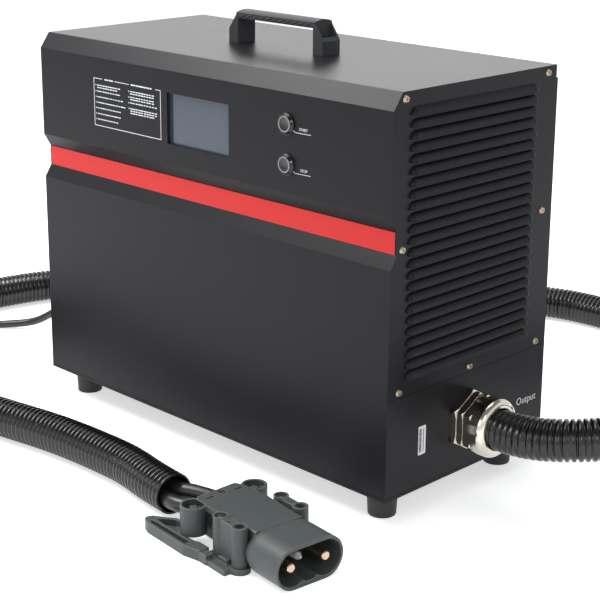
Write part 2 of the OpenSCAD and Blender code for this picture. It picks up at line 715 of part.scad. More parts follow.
// Tapered rubber foot with a deep bore for its screw
module foot(x, y) {
    color([0.05, 0.05, 0.05]) translate([x * (half_w - foot_inset), front_y + y, 0]) difference() {
        cylinder(d1 = foot_tip_d, d2 = foot_d, h = foot_h);
        translate([0, 0, -1]) cylinder(d = 13, h = foot_h - 7);
        cylinder(d = 5.6, h = foot_h + 1);
    }
}
module foot_front_left() { foot(-1, foot_inset); }
module foot_front_right() { foot(1, foot_inset); }
module foot_rear_left() { foot(-1, body_d - foot_inset); }
module foot_rear_right() { foot(1, body_d - foot_inset); }
module foot_screws() {
    color([0.7, 0.7, 0.7]) for (x = [-1, 1], y = [foot_inset, body_d - foot_inset])
        translate([x * (half_w - foot_inset), front_y + y, foot_h - 8]) rotate([0, 90, 0])
            pan_screw_x(5, 10, 3.5, 18);
}

// Output gland: locknut, body with a sleeve through the wall, dome nut, seal and inner nut
module at_gland() { translate([half_w, 0, gland_z]) children(); }
module output_locknut() {
    color([0.72, 0.68, 0.6]) at_gland() difference() {
        turned_hex_x(locknut_af, 0, locknut_t, 3);
        rod_x(gland_thread_d + 0.2, -1, locknut_t + 2);
    }
}
module output_gland() {
    thread_out = gland_out + 12;
    color([0.72, 0.68, 0.6]) at_gland() difference() {
        union() {
            rod_x(gland_thread_d, -gland_wall_in - sheet_t, gland_wall_in + sheet_t + thread_out);
            turned_hex_x(gland_af, locknut_t, gland_hex_t, 2.5);
        }
        rod_x(gland_bore - 4, -30, 60);
        rod_x(gland_bore, gland_out - 8, 40);
    }
}
module output_dome_nut() {
    start = gland_out + 0.2;
    nut_d = gland_af / cos(30) - 1.5;
    color([0.72, 0.68, 0.6]) at_gland() difference() {
        union() {
            turned_hex_x(gland_af, start, 9, 2);
            translate([start, 0, 0]) rotate([0, 90, 0]) rotate_extrude() union() {
                square([nut_d / 2 - dome_nut_r, dome_nut_len - 0.2]);
                translate([0, 3]) square([nut_d / 2 - 1, dome_nut_len - 3.2 - dome_nut_r]);
                translate([nut_d / 2 - 1 - dome_nut_r, dome_nut_len - 0.2 - dome_nut_r]) circle(dome_nut_r);
            }
        }
        rod_x(gland_thread_d + 0.2, start - 1, 13.2);
        rod_x(gland_bore + 1, start, dome_nut_len + 5);
    }
}
module output_seal() {
    color([0.03, 0.03, 0.03]) at_gland() difference() {
        rod_x(gland_bore + 0.8, gland_out + 13, dome_nut_len - 14);
        rod_x(conduit_d + 0.3, 0, 60);
    }
}
module output_inner_nut() {
    color([0.72, 0.68, 0.6]) at_gland() difference() {
        turned_hex_x(locknut_af, -sheet_t - locknut_t, locknut_t, 3);
        rod_x(gland_thread_d + 0.2, -30, 60);
    }
}
module output_conduit() { color([0.04, 0.04, 0.04]) tube(conduit_route, conduit_d, conduit_sides); }
module output_cable_far() { color([0.03, 0.03, 0.03]) tube(far_route, cable_d, cable_sides); }
module output_cable_near() { color([0.03, 0.03, 0.03]) tube(near_route, cable_d, cable_sides); }

// Battery plug, drawn from the middle of its rear end with its mouth along +X
module stadium(w, h) {
    square([w - h, h], center = true);
    for (x = [-1, 1]) translate([x * (w - h) / 2, 0]) circle(d = h);
}
// Space in the mouth: a round lobe about each pin, open above, with a channelled rib below
module mouth_space() {
    lobe_v = mouth_w / 2 - lobe_r - 2.3;
    peak = 8.3;
    peak_z = -sqrt(lobe_r * lobe_r - (lobe_v - peak) * (lobe_v - peak));
    for (x = [-1, 1]) translate([x * lobe_v, 0]) circle(r = lobe_r);
    translate([-lobe_v, -1]) square([2 * lobe_v, lobe_r + 1]);
    polygon([[-peak, 0], [-peak, peak_z], [-peak + 3.4, peak_z - 2.6], [peak - 3.4, peak_z - 2.6],
        [peak, peak_z], [peak, 0]]);
}
module plug_tower(u, v, d, low, high) { translate([u, v, low]) cylinder(d = d, h = high - low); }
module plug_housing() {
    tube_u = 108;
    body_low = 3;
    color([0.24, 0.26, 0.27]) at_plug() difference() {
        union() {
            translate([0, 0, plug_axis_z]) {
                along_x(tube_u, plug_len - tube_u) stadium(mouth_w, mouth_h);
                for (v = [-1, 1]) translate([tube_u, v * (mouth_w - mouth_h) / 2, 0]) sphere(d = mouth_h);
                translate([tube_u, 0, 0]) rod_y(mouth_h, -(mouth_w - mouth_h) / 2, mouth_w - mouth_h);
            }
            translate([0, 0, body_low]) linear_extrude(mouth_h - 1 - body_low) polygon([
                [4, -21], [44, -23], [54, -body_half_v], [100, -body_half_v],
                [100, body_half_v], [54, body_half_v], [44, 23], [4, 21]
            ]);
            translate([0, 0, mouth_h - 7]) linear_extrude(6.5) polygon([
                [6, -26], [10, -30], [40, -30], [56, -28], [100, -26],
                [100, 26], [56, 28], [40, 29], [12, 26], [2, 21]
            ]);
            for (s = [-1, 1]) {
                low = s < 0 ? bracket_t + part_gap : body_low;
                web_low = s < 0 ? arm_h - 0.9 : body_low;
                rear_low = s < 0 ? arm_h + part_gap : 2;
                plug_tower(screw_boss_u, s * boss_v, screw_boss_d, low, boss_top);
                plug_tower(nut_boss_u, s * boss_v, nut_boss_d, low, boss_top);
                translate([screw_boss_u, s * boss_v - web_t / 2, web_low])
                    cube([nut_boss_u - screw_boss_u, web_t, boss_top - 1 - web_low]);
                plug_tower(rear_boss_u, s * rear_boss_v, rear_boss_d, rear_low, rear_boss_top);
            }
        }
        translate([0, 0, plug_axis_z]) along_x(plug_len - mouth_depth, mouth_depth + 1) mouth_space();
        for (s = [-1, 1]) {
            translate([0, s * 12.5, plug_axis_z]) rod_x(cable_d + 0.8, -20, 44);
            translate([0, s * pin_v, plug_axis_z])
                rod_x(pin_d + 1 + 2 * pin_fit, plug_len - mouth_depth - pin_seat, pin_seat + 1);
            plug_tower(screw_boss_u, s * boss_v, screw_boss_d - 3, boss_top - 4, boss_top + 1);
            plug_tower(screw_boss_u, s * boss_v, 4.6, 0, boss_top);
            translate([nut_boss_u, s * boss_v, boss_top - 14])
                cylinder(d = 10 / cos(30), h = 15, $fn = 6);
            plug_tower(nut_boss_u, s * boss_v, 4.6, 0, boss_top);
            plug_tower((screw_boss_u + nut_boss_u) / 2, s * boss_v, 3.4, boss_top - 9, boss_top + 1);
            difference() {
                plug_tower(rear_boss_u, s * rear_boss_v, rear_boss_d - 4.4, 18, rear_boss_top + 1);
                translate([rear_boss_u, s * rear_boss_v, 10]) {
                    cylinder(d = 8, h = rear_boss_top - 13, $fn = 6);
                    translate([-1, -rear_boss_d / 2, 0]) cube([2, rear_boss_d, rear_boss_top - 15]);
                }
            }
            translate([13, s * 17 - 5, mouth_h - 4]) cube([3, 10, 5]);
        }
        translate([0, 0, plug_axis_z])
            hex_x(coding_af + 2 * pin_fit, plug_len - mouth_depth - pin_seat, pin_seat + 1);
        plug_tower(11, 0, 8, mouth_h - 4, mouth_h + 1);
        plug_tower(11, 0, 3.6, mouth_h - 12, mouth_h + 1);
    }
}
module plug_pin(side) {
    tip = plug_len - pin_back;
    mouth_floor = plug_len - mouth_depth;
    translate([0, side * pin_v, plug_axis_z]) union() {
        rod_x(pin_d + 1, mouth_floor - pin_seat, pin_seat);
        rod_x(pin_d, mouth_floor - eps, tip - mouth_floor - 1 + eps);
        translate([tip - 1, 0, 0]) rotate([0, 90, 0]) cylinder(d1 = pin_d, d2 = pin_d - 1.6, h = 1);
    }
}
module plug_pin_far() { color([0.72, 0.5, 0.36]) at_plug() plug_pin(1); }
module plug_pin_near() { color([0.72, 0.5, 0.36]) at_plug() plug_pin(-1); }
module plug_coding_pin() {
    tip = plug_len - coding_back;
    seat = plug_len - mouth_depth - pin_seat;
    color([0.8, 0.8, 0.78]) at_plug() translate([0, 0, plug_axis_z]) union() {
        hex_x(coding_af, seat, tip - seat - 4);
        translate([tip - 4, 0, 0]) rotate([0, 90, 0])
            cylinder(d1 = coding_af / cos(30), d2 = 3, h = 4, $fn = 6);
    }
}
// Side handle: a foot plate under the near bosses and a hooked, channelled arm
module plug_handle() {
    color([0.25, 0.27, 0.28]) at_plug() difference() {
        union() {
            linear_extrude(arm_h) polygon([
                [-38, -57], [-30, -60], [30, -59.5], [49, -54.5], [49, -43], [34, -43.5], [30, -46],
                [8, -47.5], [2, -38], [-8, -31], [-20, -32], [-29, -40], [-40, -48]
            ]);
            translate([-35.5, -52.5, 0]) cylinder(r = 5.6, h = arm_h);
            for (u = [screw_boss_u, nut_boss_u]) plug_tower(u, -boss_v, 21, 0, bracket_t);
            translate([46, -boss_v - 18, 0]) cube([nut_boss_u - 46, 10.5, bracket_t]);
            translate([46, -boss_v - 10.5, 0]) cube([nut_boss_u - 46, 16, bracket_t]);
            translate([44, -54.5, 0]) cube([screw_boss_u - 42, 8.5, arm_h - 1.2]);
            translate([screw_boss_u + 8, -boss_v - 9, 0]) cube([13, 10, arm_h - 1.2]);
        }
        translate([0, 0, 3]) linear_extrude(arm_h) polygon([
            [-33, -54], [-28, -57], [29, -56.6], [29, -50], [-26, -52.2]
        ]);
        translate([0, 0, 4]) linear_extrude(arm_h) polygon([
            [-32, -49], [-24, -49], [6, -49.4], [0, -41], [-9, -34], [-18, -35], [-26, -42]
        ]);
        for (u = [screw_boss_u, nut_boss_u]) plug_tower(u, -boss_v, 4.6, -1, bracket_t + 1);
        translate([screw_boss_u - 15, -body_half_v - part_gap, -1]) cube([60, 20, bracket_t + 2]);
    }
}
module plug_screws() {
    color([0.78, 0.78, 0.76]) at_plug() {
        for (s = [-1, 1]) translate([screw_boss_u, s * boss_v, boss_top - 4]) rotate([0, -90, 0])
            pan_screw_x(4.2, 8.6, 3, 34);
        translate([11, 0, mouth_h - 4]) rotate([0, -90, 0]) pan_screw_x(3.4, 7, 2.4, 7);
    }
}

// Mains gland on the left wall with its tapered strain relief
module at_mains() { translate([-half_w, 0, mains_z]) mirror([1, 0, 0]) children(); }
mains_hex_t = 6;
mains_nut_len = 17;
module mains_gland() {
    color([0.05, 0.05, 0.05]) at_mains() difference() {
        union() {
            rod_x(mains_thread_d, -10 - sheet_t, 10 + sheet_t + mains_hex_t + 8);
            turned_hex_x(mains_af, 0, mains_hex_t, 1.2);
        }
        rod_x(mains_d + 1, -20, 60);
    }
}
module mains_dome_nut() {
    color([0.05, 0.05, 0.05]) at_mains() difference() {
        union() {
            turned_hex_x(mains_af, mains_hex_t + 0.2, 9, 1);
            translate([mains_hex_t + 9, 0, 0]) rotate([0, 90, 0])
                cylinder(d1 = mains_af, d2 = mains_af - 6, h = mains_nut_len - 9);
        }
        rod_x(mains_thread_d + 0.2, mains_hex_t - 1, 9.4);
        rod_x(mains_d + 1, 0, 60);
    }
}
module mains_inner_nut() {
    color([0.05, 0.05, 0.05]) at_mains() difference() {
        turned_hex_x(mains_af, -sheet_t - 4, 4, 1);
        rod_x(mains_thread_d + 0.2, -20, 40);
    }
}
module mains_boot() {
    start = mains_hex_t + mains_nut_len;
    color([0.04, 0.04, 0.04]) at_mains() difference() {
        translate([start, 0, 0]) rotate([0, 90, 0])
            cylinder(d1 = mains_af - 7, d2 = mains_d + 3, h = boot_len);
        rod_x(mains_d + 1, 0, 80);
    }
}
module mains_lead() {
    color([0.04, 0.04, 0.04]) {
        tube(mains_route, mains_d, cable_sides);
        tube(mains_tail, mains_d, cable_sides);
    }
}
module mains_coil() {
    color([0.04, 0.04, 0.04]) translate([coil_pos[0], coil_pos[1], 0]) rotate_extrude()
        translate([coil_r - coil_w / 2, 0]) square([coil_w, coil_h]);
}
// Mains plug: tapered neck, round body with earth grooves, two round pins
module mains_plug() {
    front = mains_cone_len + mains_plug_len;
    color([0.05, 0.05, 0.05]) at_mains_plug() difference() {
        union() {
            rotate([0, 90, 0])
                cylinder(d1 = mains_d + 4, d2 = mains_plug_d - 8, h = mains_cone_len + eps);
            rod_x(mains_plug_d, mains_cone_len, mains_plug_len);
        }
        for (z = [-1, 1]) translate([front - 16, -4, z * (mains_plug_d / 2 - 1.5) - 3]) cube([20, 8, 6]);
        rod_x(mains_d + 0.6, -1, 9);
    }
}
module mains_plug_pins() {
    front = mains_cone_len + mains_plug_len;
    color([0.75, 0.75, 0.74]) at_mains_plug() for (y = [-1, 1]) translate([0, y * 9.5, 0]) union() {
        rod_x(4.8, front, 17);
        translate([front + 17, 0, 0]) rotate([0, 90, 0]) cylinder(d1 = 4.8, d2 = 3, h = 2);
    }
}

// Axial fan: square frame, ring bore, four struts and a hub with a fixed shaft
module at_fan(side) { in_cabinet() translate([side * fan_x, fan_back - fan_depth, fan_up]) children(); }
module fan_frame() {
    hub_t = 5;
    difference() {
        translate([-fan_size / 2, 0, -fan_size / 2]) cube([fan_size, fan_depth, fan_size]);
        difference() {
            rod_y(fan_bore, -1, fan_depth + 2);
            rod_y(fan_hub_d, 0, hub_t);
            for (turn = [20, 110, 200, 290]) rotate([0, turn, 0])
                translate([fan_hub_d / 2 - 6, 0.6, -2]) cube([fan_bore / 2, hub_t - 1.2, 4]);
            rod_y(shaft_d, 1, fan_depth - 9);
        }
        for (sx = [-1, 1], sz = [-1, 1])
            translate([sx * fan_hole_pitch / 2, 0, sz * fan_hole_pitch / 2]) rod_y(4.4, -1, fan_depth + 2);
    }
}
module fan_frames() { color([0.05, 0.05, 0.05]) for (side = [-1, 1]) at_fan(side) fan_frame(); }
module fan_rotor() {
    rotor_low = 6;
    rotor_len = fan_depth - 9;
    tip_r = fan_bore / 2 - 1.5;
    difference() {
        union() {
            rod_y(fan_hub_d - 2, rotor_low, rotor_len);
            for (i = [0 : blade_count - 1]) rotate([0, i * 360 / blade_count, 0]) intersection() {
                translate([fan_hub_d / 2 - 3, rotor_low + rotor_len / 2, 0]) rotate([38, 0, 0])
                    translate([0, -1, -15]) cube([tip_r, 2, 30]);
                rod_y(2 * tip_r, rotor_low + 2, rotor_len - 4);
            }
        }
        rod_y(shaft_d + 2 * shaft_fit, 0, fan_depth - 7);
    }
}
module fan_rotor_left() { color([0.08, 0.08, 0.08]) at_fan(-1) fan_rotor(); }
module fan_rotor_right() { color([0.08, 0.08, 0.08]) at_fan(1) fan_rotor(); }
module fan_screws() {
    color([0.7, 0.7, 0.7]) in_cabinet() for (x = [-1, 1], sx = [-1, 1], sz = [-1, 1])
        translate([x * fan_x + sx * fan_hole_pitch / 2, body_d + rear_out, fan_up + sz * fan_hole_pitch / 2])
            rotate([0, 0, 90]) pan_screw_x(screw_d, screw_head_d, screw_head_h, fan_screw_len);
}

// Inner pieces, standing on the floor plate. In a narrow cabinet the heatsink keeps clear of the transformer
sink_x = min(-half_w + sink_side, half_w - core_side - core_w - core_gap - sink_w);
sink_pos = [sink_x, 40];
board_t = 2;
module on_floor(place) { in_cabinet() translate([place[0], place[1], floor_t]) children(); }
module heatsink() {
    fins = 14;
    fin_t = 3;
    base_t = 8;
    color([0.7, 0.71, 0.73]) on_floor(sink_pos) union() {
        cube([sink_w, sink_d, base_t]);
        for (i = [0 : fins - 1]) translate([i * (sink_w - fin_t) / (fins - 1), 0, base_t - eps])
            cube([fin_t, sink_d, sink_h - base_t]);
    }
}
module power_board() {
    edge = 14;
    switch_w = 22;
    coil_len = 30;
    switch_step = (sink_w - 2 * edge - switch_w) / 5;
    coil_step = (sink_w - 2 * edge - coil_len) / 3;
    color([0.05, 0.3, 0.15]) on_floor(sink_pos) translate([0, 0, sink_h]) union() {
        cube([sink_w, sink_d, board_t]);
        for (i = [0 : 5]) translate([edge + i * switch_step, edge, board_t - eps])
            cube([switch_w, switch_w, coil_len]);
        for (i = [0 : 3]) translate([edge + i * coil_step, sink_d - edge - 20, board_t - eps])
            cube([coil_len, 20, 18]);
    }
}
module transformer() {
    winding_in = 15;
    winding_out = 14;
    color([0.5, 0.36, 0.2]) on_floor([half_w - core_side - core_w, 45]) union() {
        cube([core_w, core_d, core_h]);
        translate([winding_in, -winding_out, winding_in])
            cube([core_w - 2 * winding_in, core_d + 2 * winding_out, core_h - 2 * winding_in]);
    }
}
module capacitors() {
    step = capacitor_d + 4;
    board_d = capacitor_d + 12;
    color([0.15, 0.18, 0.3]) on_floor([sink_pos[0] + 20, 165]) union() {
        cube([4 * step, board_d, board_t]);
        for (i = [0 : 3]) translate([(i + 0.5) * step, board_d / 2, board_t - eps])
            cylinder(d = capacitor_d, h = capacitor_h);
    }
}
module contactor() {
    depth = 50;
    lid_in = 6;
    color([0.16, 0.16, 0.17]) on_floor([half_w - core_side - 2.5 * contactor_w, 160]) union() {
        cube([contactor_w, depth, contactor_h]);
        translate([lid_in, lid_in, contactor_h - eps])
            cube([contactor_w - 2 * lid_in, depth - 2 * lid_in, 12]);
    }
}

base_tray();
skirt_left();
skirt_right();
front_panel();
red_band();
top_cover();
rear_panel();
side_cover_left();
side_cover_right();
cover_screws();
lcd_frame();
lcd_glass();
lcd_board();
start_body();
start_cap();
start_ring();
stop_body();
stop_cap();
stop_ring();
button_nuts();
handle();
handle_screws();
foot_front_left();
foot_front_right();
foot_rear_left();
foot_rear_right();
foot_screws();
output_locknut();
output_gland();
output_dome_nut();
output_seal();
output_inner_nut();
output_conduit();
output_cable_far();
output_cable_near();
plug_housing();
plug_handle();
plug_pin_far();
plug_pin_near();
plug_coding_pin();
plug_screws();
mains_gland();
mains_dome_nut();
mains_inner_nut();
mains_boot();
mains_lead();
mains_coil();
mains_plug();
mains_plug_pins();
fan_frames();
fan_rotor_left();
fan_rotor_right();
fan_screws();
power_board();
heatsink();
transformer();
capacitors();
contactor();
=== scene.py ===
"""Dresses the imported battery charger: camera, light, finishes, printed marks, ribbed conduit and cords."""
import math

import bmesh
import bpy
from mathutils import Matrix, Vector
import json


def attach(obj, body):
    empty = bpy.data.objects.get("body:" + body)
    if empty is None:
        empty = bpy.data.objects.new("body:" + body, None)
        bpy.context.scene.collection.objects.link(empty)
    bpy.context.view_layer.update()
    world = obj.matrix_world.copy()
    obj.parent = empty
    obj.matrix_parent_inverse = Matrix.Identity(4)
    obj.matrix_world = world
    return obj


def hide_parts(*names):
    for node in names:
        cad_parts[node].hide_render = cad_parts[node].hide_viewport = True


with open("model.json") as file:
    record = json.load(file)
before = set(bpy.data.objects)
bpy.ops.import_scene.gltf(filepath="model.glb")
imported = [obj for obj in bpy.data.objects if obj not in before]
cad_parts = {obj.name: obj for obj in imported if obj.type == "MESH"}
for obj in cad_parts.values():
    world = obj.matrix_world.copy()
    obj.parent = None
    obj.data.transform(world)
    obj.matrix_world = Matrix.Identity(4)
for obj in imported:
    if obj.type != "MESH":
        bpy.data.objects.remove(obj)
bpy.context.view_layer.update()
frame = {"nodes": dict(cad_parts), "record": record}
nodes = frame["nodes"]
scene = bpy.context.scene

# Sizes shared with the part's source, in metres
HALF_W = 0.2675
FRONT_Y = -0.12455
FOOT_H = 0.030
BUTTON_GAP = 0.040
CONDUIT_R = 0.02125
CABLE_R = 0.008
MAINS_R = 0.005
COIL_POS = Vector((-0.465, -0.160, 0.0))


# Helpers for objects and node trees
def new_object(name, data):
    made = bpy.data.objects.new(name, data)
    scene.collection.objects.link(made)
    return made


def feed(tree, socket, value):
    """Gives an input a value, or the output of another node."""
    if isinstance(value, bpy.types.NodeSocket):
        tree.links.new(value, socket)
    else:
        socket.default_value = value


def add(tree, kind, *places, options=None, **names):
    """A new node with its options; its inputs are given in their order or by name."""
    made = tree.nodes.new(kind)
    for key, value in (options or {}).items():
        setattr(made, key, value)
    for place, value in enumerate(places):
        feed(tree, made.inputs[place], value)
    for label, value in names.items():
        feed(tree, made.inputs[label.replace("_", " ")], value)
    return made


def math_node(tree, operation, *values, clamp=False):
    options = {"operation": operation, "use_clamp": clamp}
    return add(tree, "ShaderNodeMath", *values, options=options).outputs[0]


def new_tree(kind, name, inputs, outputs):
    """A node tree with its named inputs, each with its first value if it has one, and its named outputs."""
    tree = bpy.data.node_groups.new(name, kind)
    for label, sort, value in inputs:
        socket = tree.interface.new_socket(label, in_out="INPUT", socket_type="NodeSocket" + sort)
        if value is not None:
            socket.default_value = value
    for label, sort in outputs:
        tree.interface.new_socket(label, in_out="OUTPUT", socket_type="NodeSocket" + sort)
    return tree, tree.nodes.new("NodeGroupInput"), tree.nodes.new("NodeGroupOutput")


def geometry_tree(name, sizes):
    """A Geometry Nodes tree with its sizes and the finish of what it makes as named inputs."""
    inputs = [("Geometry", "Geometry", None), *sizes, ("Finish", "Material", None)]
    return new_tree("GeometryNodeTree", name, inputs, [("Geometry", "Geometry")])


def close_tree(tree, start, end, shape):
    """Ends a Geometry Nodes tree: its instances become plain mesh, in the finish."""
    whole = add(tree, "GeometryNodeRealizeInstances", shape)
    coated = add(tree, "GeometryNodeSetMaterial", Geometry=whole.outputs[0], Material=start.outputs["Finish"])
    feed(tree, end.inputs["Geometry"], coated.outputs[0])


# The camera, fitted to the corners of the cabinet in the photograph
CAMERA_PLACE = (1.15642, -1.13679, 0.66804)
CAMERA_TURN = (74.441, -0.3746, 44.9471)
LENS_MM = 91.303
SENSOR_MM = 36.0
CAMERA_SHIFT = -0.1
VIEW_DEPTH = 50.0


def make_camera():
    data = bpy.data.cameras.new("camera")
    data.sensor_width = SENSOR_MM
    data.lens = LENS_MM
    data.shift_y = CAMERA_SHIFT
    data.clip_end = VIEW_DEPTH
    camera = new_object("camera", data)
    camera.location = CAMERA_PLACE
    camera.rotation_euler = [math.radians(angle) for angle in CAMERA_TURN]
    scene.camera = camera


# Light and floor: the studio's soft light, its dim ceiling, and a floor that shows as white
SKY_COLOUR = (0.92, 0.95, 1.0, 1)
SKY_LIGHT = 0.5
CEILING_GREY = 0.25
# Where the background stops being white and where the ceiling starts: sines of the angle over the horizon
WHITE_TOP = 0.42
CEILING_FROM = 0.66
FLOOR_HALF = 6.0
FLOOR_GREY = 0.86
FLOOR_GLOW = 0.58
# Each lamp's name, width and height, watts, place, and the point that it faces
LAMPS = [
    ("top_softbox", (2.0, 1.6), 32.0, (-0.3, 0.2, 2.3), (0, 0, 0.3)),
    ("front_softbox", (1.0, 0.8), 40.0, (-1.2, -0.9, 1.9), (0, -0.1, 0.3)),
    ("camera_softbox", (1.4, 0.9), 9.0, (0.5, -2.5, 1.3), (0, -0.1, 0.2)),
    ("right_softbox", (0.6, 0.7), 11.0, (2.4, -1.2, 1.6), (0.25, -0.1, 0.2)),
    ("back_softbox", (2.2, 0.7), 12.0, (-1.9, 1.9, 1.35), (0, 0, 0.4)),
]


def make_lamp(name, size, power, place, target):
    data = bpy.data.lights.new(name, "AREA")
    data.shape = "RECTANGLE"
    data.size, data.size_y = size
    data.energy = power
    lamp = new_object(name, data)
    lamp.location = place
    lamp.rotation_euler = (Vector(target) - Vector(place)).to_track_quat("-Z", "Y").to_euler()


def background_rays(tree):
    """A mask for the rays that see the bright background: from the camera, in gloss and through glass."""
    ways = add(tree, "ShaderNodeLightPath")
    mask = ways.outputs["Is Camera Ray"]
    for kind in ("Is Glossy Ray", "Is Transmission Ray"):
        mask = math_node(tree, "MAXIMUM", mask, ways.outputs[kind])
    return mask


def make_world():
    """Soft light all round; the background is white to a little over the horizon, then a dim ceiling."""
    world = bpy.data.worlds.new("studio")
    scene.world = world
    world.use_nodes = True
    tree = world.node_tree
    tree.nodes.clear()
    light = add(tree, "ShaderNodeBackground", Color=SKY_COLOUR, Strength=SKY_LIGHT)
    place = add(tree, "ShaderNodeTexCoord")
    parts = add(tree, "ShaderNodeSeparateXYZ", place.outputs["Generated"])
    fade = add(tree, "ShaderNodeValToRGB", parts.outputs["Z"])
    ramp = fade.color_ramp
    ramp.interpolation = "EASE"
    for stop, height, grey in zip(ramp.elements, (WHITE_TOP, CEILING_FROM), (1.0, CEILING_GREY)):
        stop.position = height
        stop.color = (grey, grey, grey, 1)
    white = add(tree, "ShaderNodeBackground", Color=fade.outputs[0], Strength=1.0)
    mix = add(tree, "ShaderNodeMixShader", background_rays(tree), light.outputs[0], white.outputs[0])
    add(tree, "ShaderNodeOutputWorld", Surface=mix.outputs[0])


def floor_material():
    """A pale floor that keeps the shadows and glows a little where it is seen, so that it shows as white."""
    material = bpy.data.materials.new("pale_floor")
    material.use_nodes = True
    tree = material.node_tree
    tree.nodes.clear()
    pale = add(tree, "ShaderNodeBsdfDiffuse", Color=(FLOOR_GREY, FLOOR_GREY, FLOOR_GREY, 1))
    lift = math_node(tree, "MULTIPLY", background_rays(tree), FLOOR_GLOW)
    glow = add(tree, "ShaderNodeEmission", Color=(1, 1, 1, 1), Strength=lift)
    both = add(tree, "ShaderNodeAddShader", pale.outputs[0], glow.outputs[0])
    add(tree, "ShaderNodeOutputMaterial", Surface=both.outputs[0])
    return material


def make_floor():
    mesh = bpy.data.meshes.new("floor")
    corners = [(FLOOR_HALF * x, FLOOR_HALF * y, 0) for x, y in ((-1, -1), (1, -1), (1, 1), (-1, 1))]
    mesh.from_pydata(corners, [], [(0, 1, 2, 3)])
    mesh.materials.append(floor_material())
    floor = new_object("floor", mesh)


make_camera()
make_world()
make_floor()
for lamp_values in LAMPS:
    make_lamp(*lamp_values)
scene.view_settings.view_transform = "Standard"


# Shader groups
def grain_group():
    """Fine moulded or sprayed grain: a height, and a colour that drifts a little over the surface."""
    inputs = [("Colour", "Color", (0.1, 0.1, 0.1, 1)), ("Grain Scale", "Float", 900.0),
              ("Drift", "Float", 0.15), ("Roughness", "Float", 0.5)]
    outputs = [("Colour", "Color"), ("Roughness", "Float"), ("Height", "Float")]
    tree, start, end = new_tree("ShaderNodeTree", "surface_grain", inputs, outputs)
    given = start.outputs
    place = add(tree, "ShaderNodeTexCoord").outputs["Object"]
    fine = add(tree, "ShaderNodeTexNoise", Vector=place, Scale=given["Grain Scale"], Detail=2.0,
               Roughness=0.6)
    broad = add(tree, "ShaderNodeTexNoise", Vector=place, Scale=9.0, Detail=3.0)
    both = math_node(tree, "ADD", fine.outputs["Fac"], broad.outputs["Fac"])
    centred = math_node(tree, "SUBTRACT", both, 1.0)
    gain = math_node(tree, "ADD", math_node(tree, "MULTIPLY", centred, given["Drift"]), 1.0)
    tone = add(tree, "ShaderNodeVectorMath", given["Colour"], options={"operation": "SCALE"}, Scale=gain)
    rough = math_node(tree, "MULTIPLY", given["Roughness"], gain, clamp=True)
    feed(tree, end.inputs["Colour"], tone.outputs[0])
    feed(tree, end.inputs["Roughness"], rough)
    feed(tree, end.inputs["Height"], fine.outputs["Fac"])
    return tree


def edge_group(contrast=8.0):
    """Rounds a moulding's edges in its normal, and masks them for a painted highlight: a paler colour along
    the edges.
    """
    tree, start, end = new_tree("ShaderNodeTree", "rounded_edges", [("Radius", "Float", 0.0006)],
                                [("Mask", "Float"), ("Normal", "Vector")])
    rounded = add(tree, "ShaderNodeBevel", options={"samples": 8}, Radius=start.outputs["Radius"])
    true = add(tree, "ShaderNodeNewGeometry")
    along = add(tree, "ShaderNodeVectorMath", rounded.outputs["Normal"], true.outputs["Normal"],
                options={"operation": "DOT_PRODUCT"})
    turned = math_node(tree, "SUBTRACT", 1.0, along.outputs["Value"])
    feed(tree, end.inputs["Mask"], math_node(tree, "MULTIPLY", turned, contrast, clamp=True))
    feed(tree, end.inputs["Normal"], rounded.outputs["Normal"])
    return tree


GRAIN = grain_group()
EDGES = edge_group()


# Finishes
def finish_material(name, colour, roughness, metallic=0.0, grain=900.0, drift=0.12, bump=0.1, depth=0.0002,
                    specular=0.5, edge=None, edge_radius=0.0006):
    """A finish with its grain and, where edge gives the colour of their painted highlight, with rounded edges
    that carry it.
    """
    material = bpy.data.materials.new(name)
    material.use_nodes = True
    tree = material.node_tree
    surface = add(tree, "ShaderNodeGroup", options={"node_tree": GRAIN}, Colour=(*colour, 1),
                  Grain_Scale=grain, Drift=drift, Roughness=roughness)
    relief = add(tree, "ShaderNodeBump", Strength=bump, Distance=depth, Height=surface.outputs["Height"])
    tone = surface.outputs["Colour"]
    if edge:
        rim = add(tree, "ShaderNodeGroup", options={"node_tree": EDGES}, Radius=edge_radius)
        feed(tree, relief.inputs["Normal"], rim.outputs["Normal"])
        # The paler colour along the edges is a painted highlight
        edge_highlight = add(tree, "ShaderNodeMix", options={"data_type": "RGBA"}, Factor=rim.outputs["Mask"], A=tone,
                     B=(*edge, 1))
        tone = edge_highlight.outputs["Result"]
    shader = tree.nodes["Principled BSDF"]
    for label, value in (("Base Color", tone), ("Roughness", surface.outputs["Roughness"]),
                         ("Normal", relief.outputs["Normal"]), ("Metallic", metallic),
                         ("Specular IOR Level", specular)):
        feed(tree, shader.inputs[label], value)
    return material


POWDER = finish_material("powder_coat", (0.0095, 0.0098, 0.0118), 0.35, grain=700.0, drift=0.1, bump=0.25,
                         specular=0.15)
RED = finish_material("red_paint", (0.64, 0.029, 0.027), 0.38, grain=700.0, drift=0.05, bump=0.12,
                      specular=0.2)
SCREEN = finish_material("display_glass", (0.044, 0.06, 0.09), 0.12, grain=300.0, drift=0.03, bump=0.0)
HANDLE = finish_material("handle_moulding", (0.045, 0.046, 0.049), 0.5, grain=1400.0, bump=0.2, specular=0.2)
SATIN_BLACK = finish_material("satin_plastic", (0.02, 0.02, 0.021), 0.34, grain=1400.0, bump=0.2)
GLOSS_BLACK = finish_material("gloss_plastic", (0.006, 0.006, 0.007), 0.14, grain=500.0, drift=0.05,
                              bump=0.02)
LIGHT_RING = finish_material("light_ring", (0.34, 0.345, 0.35), 0.3, grain=500.0, drift=0.05, bump=0.02)
NICKEL = finish_material("nickel_plate", (0.66, 0.61, 0.53), 0.17, metallic=1.0, grain=260.0, bump=0.03)
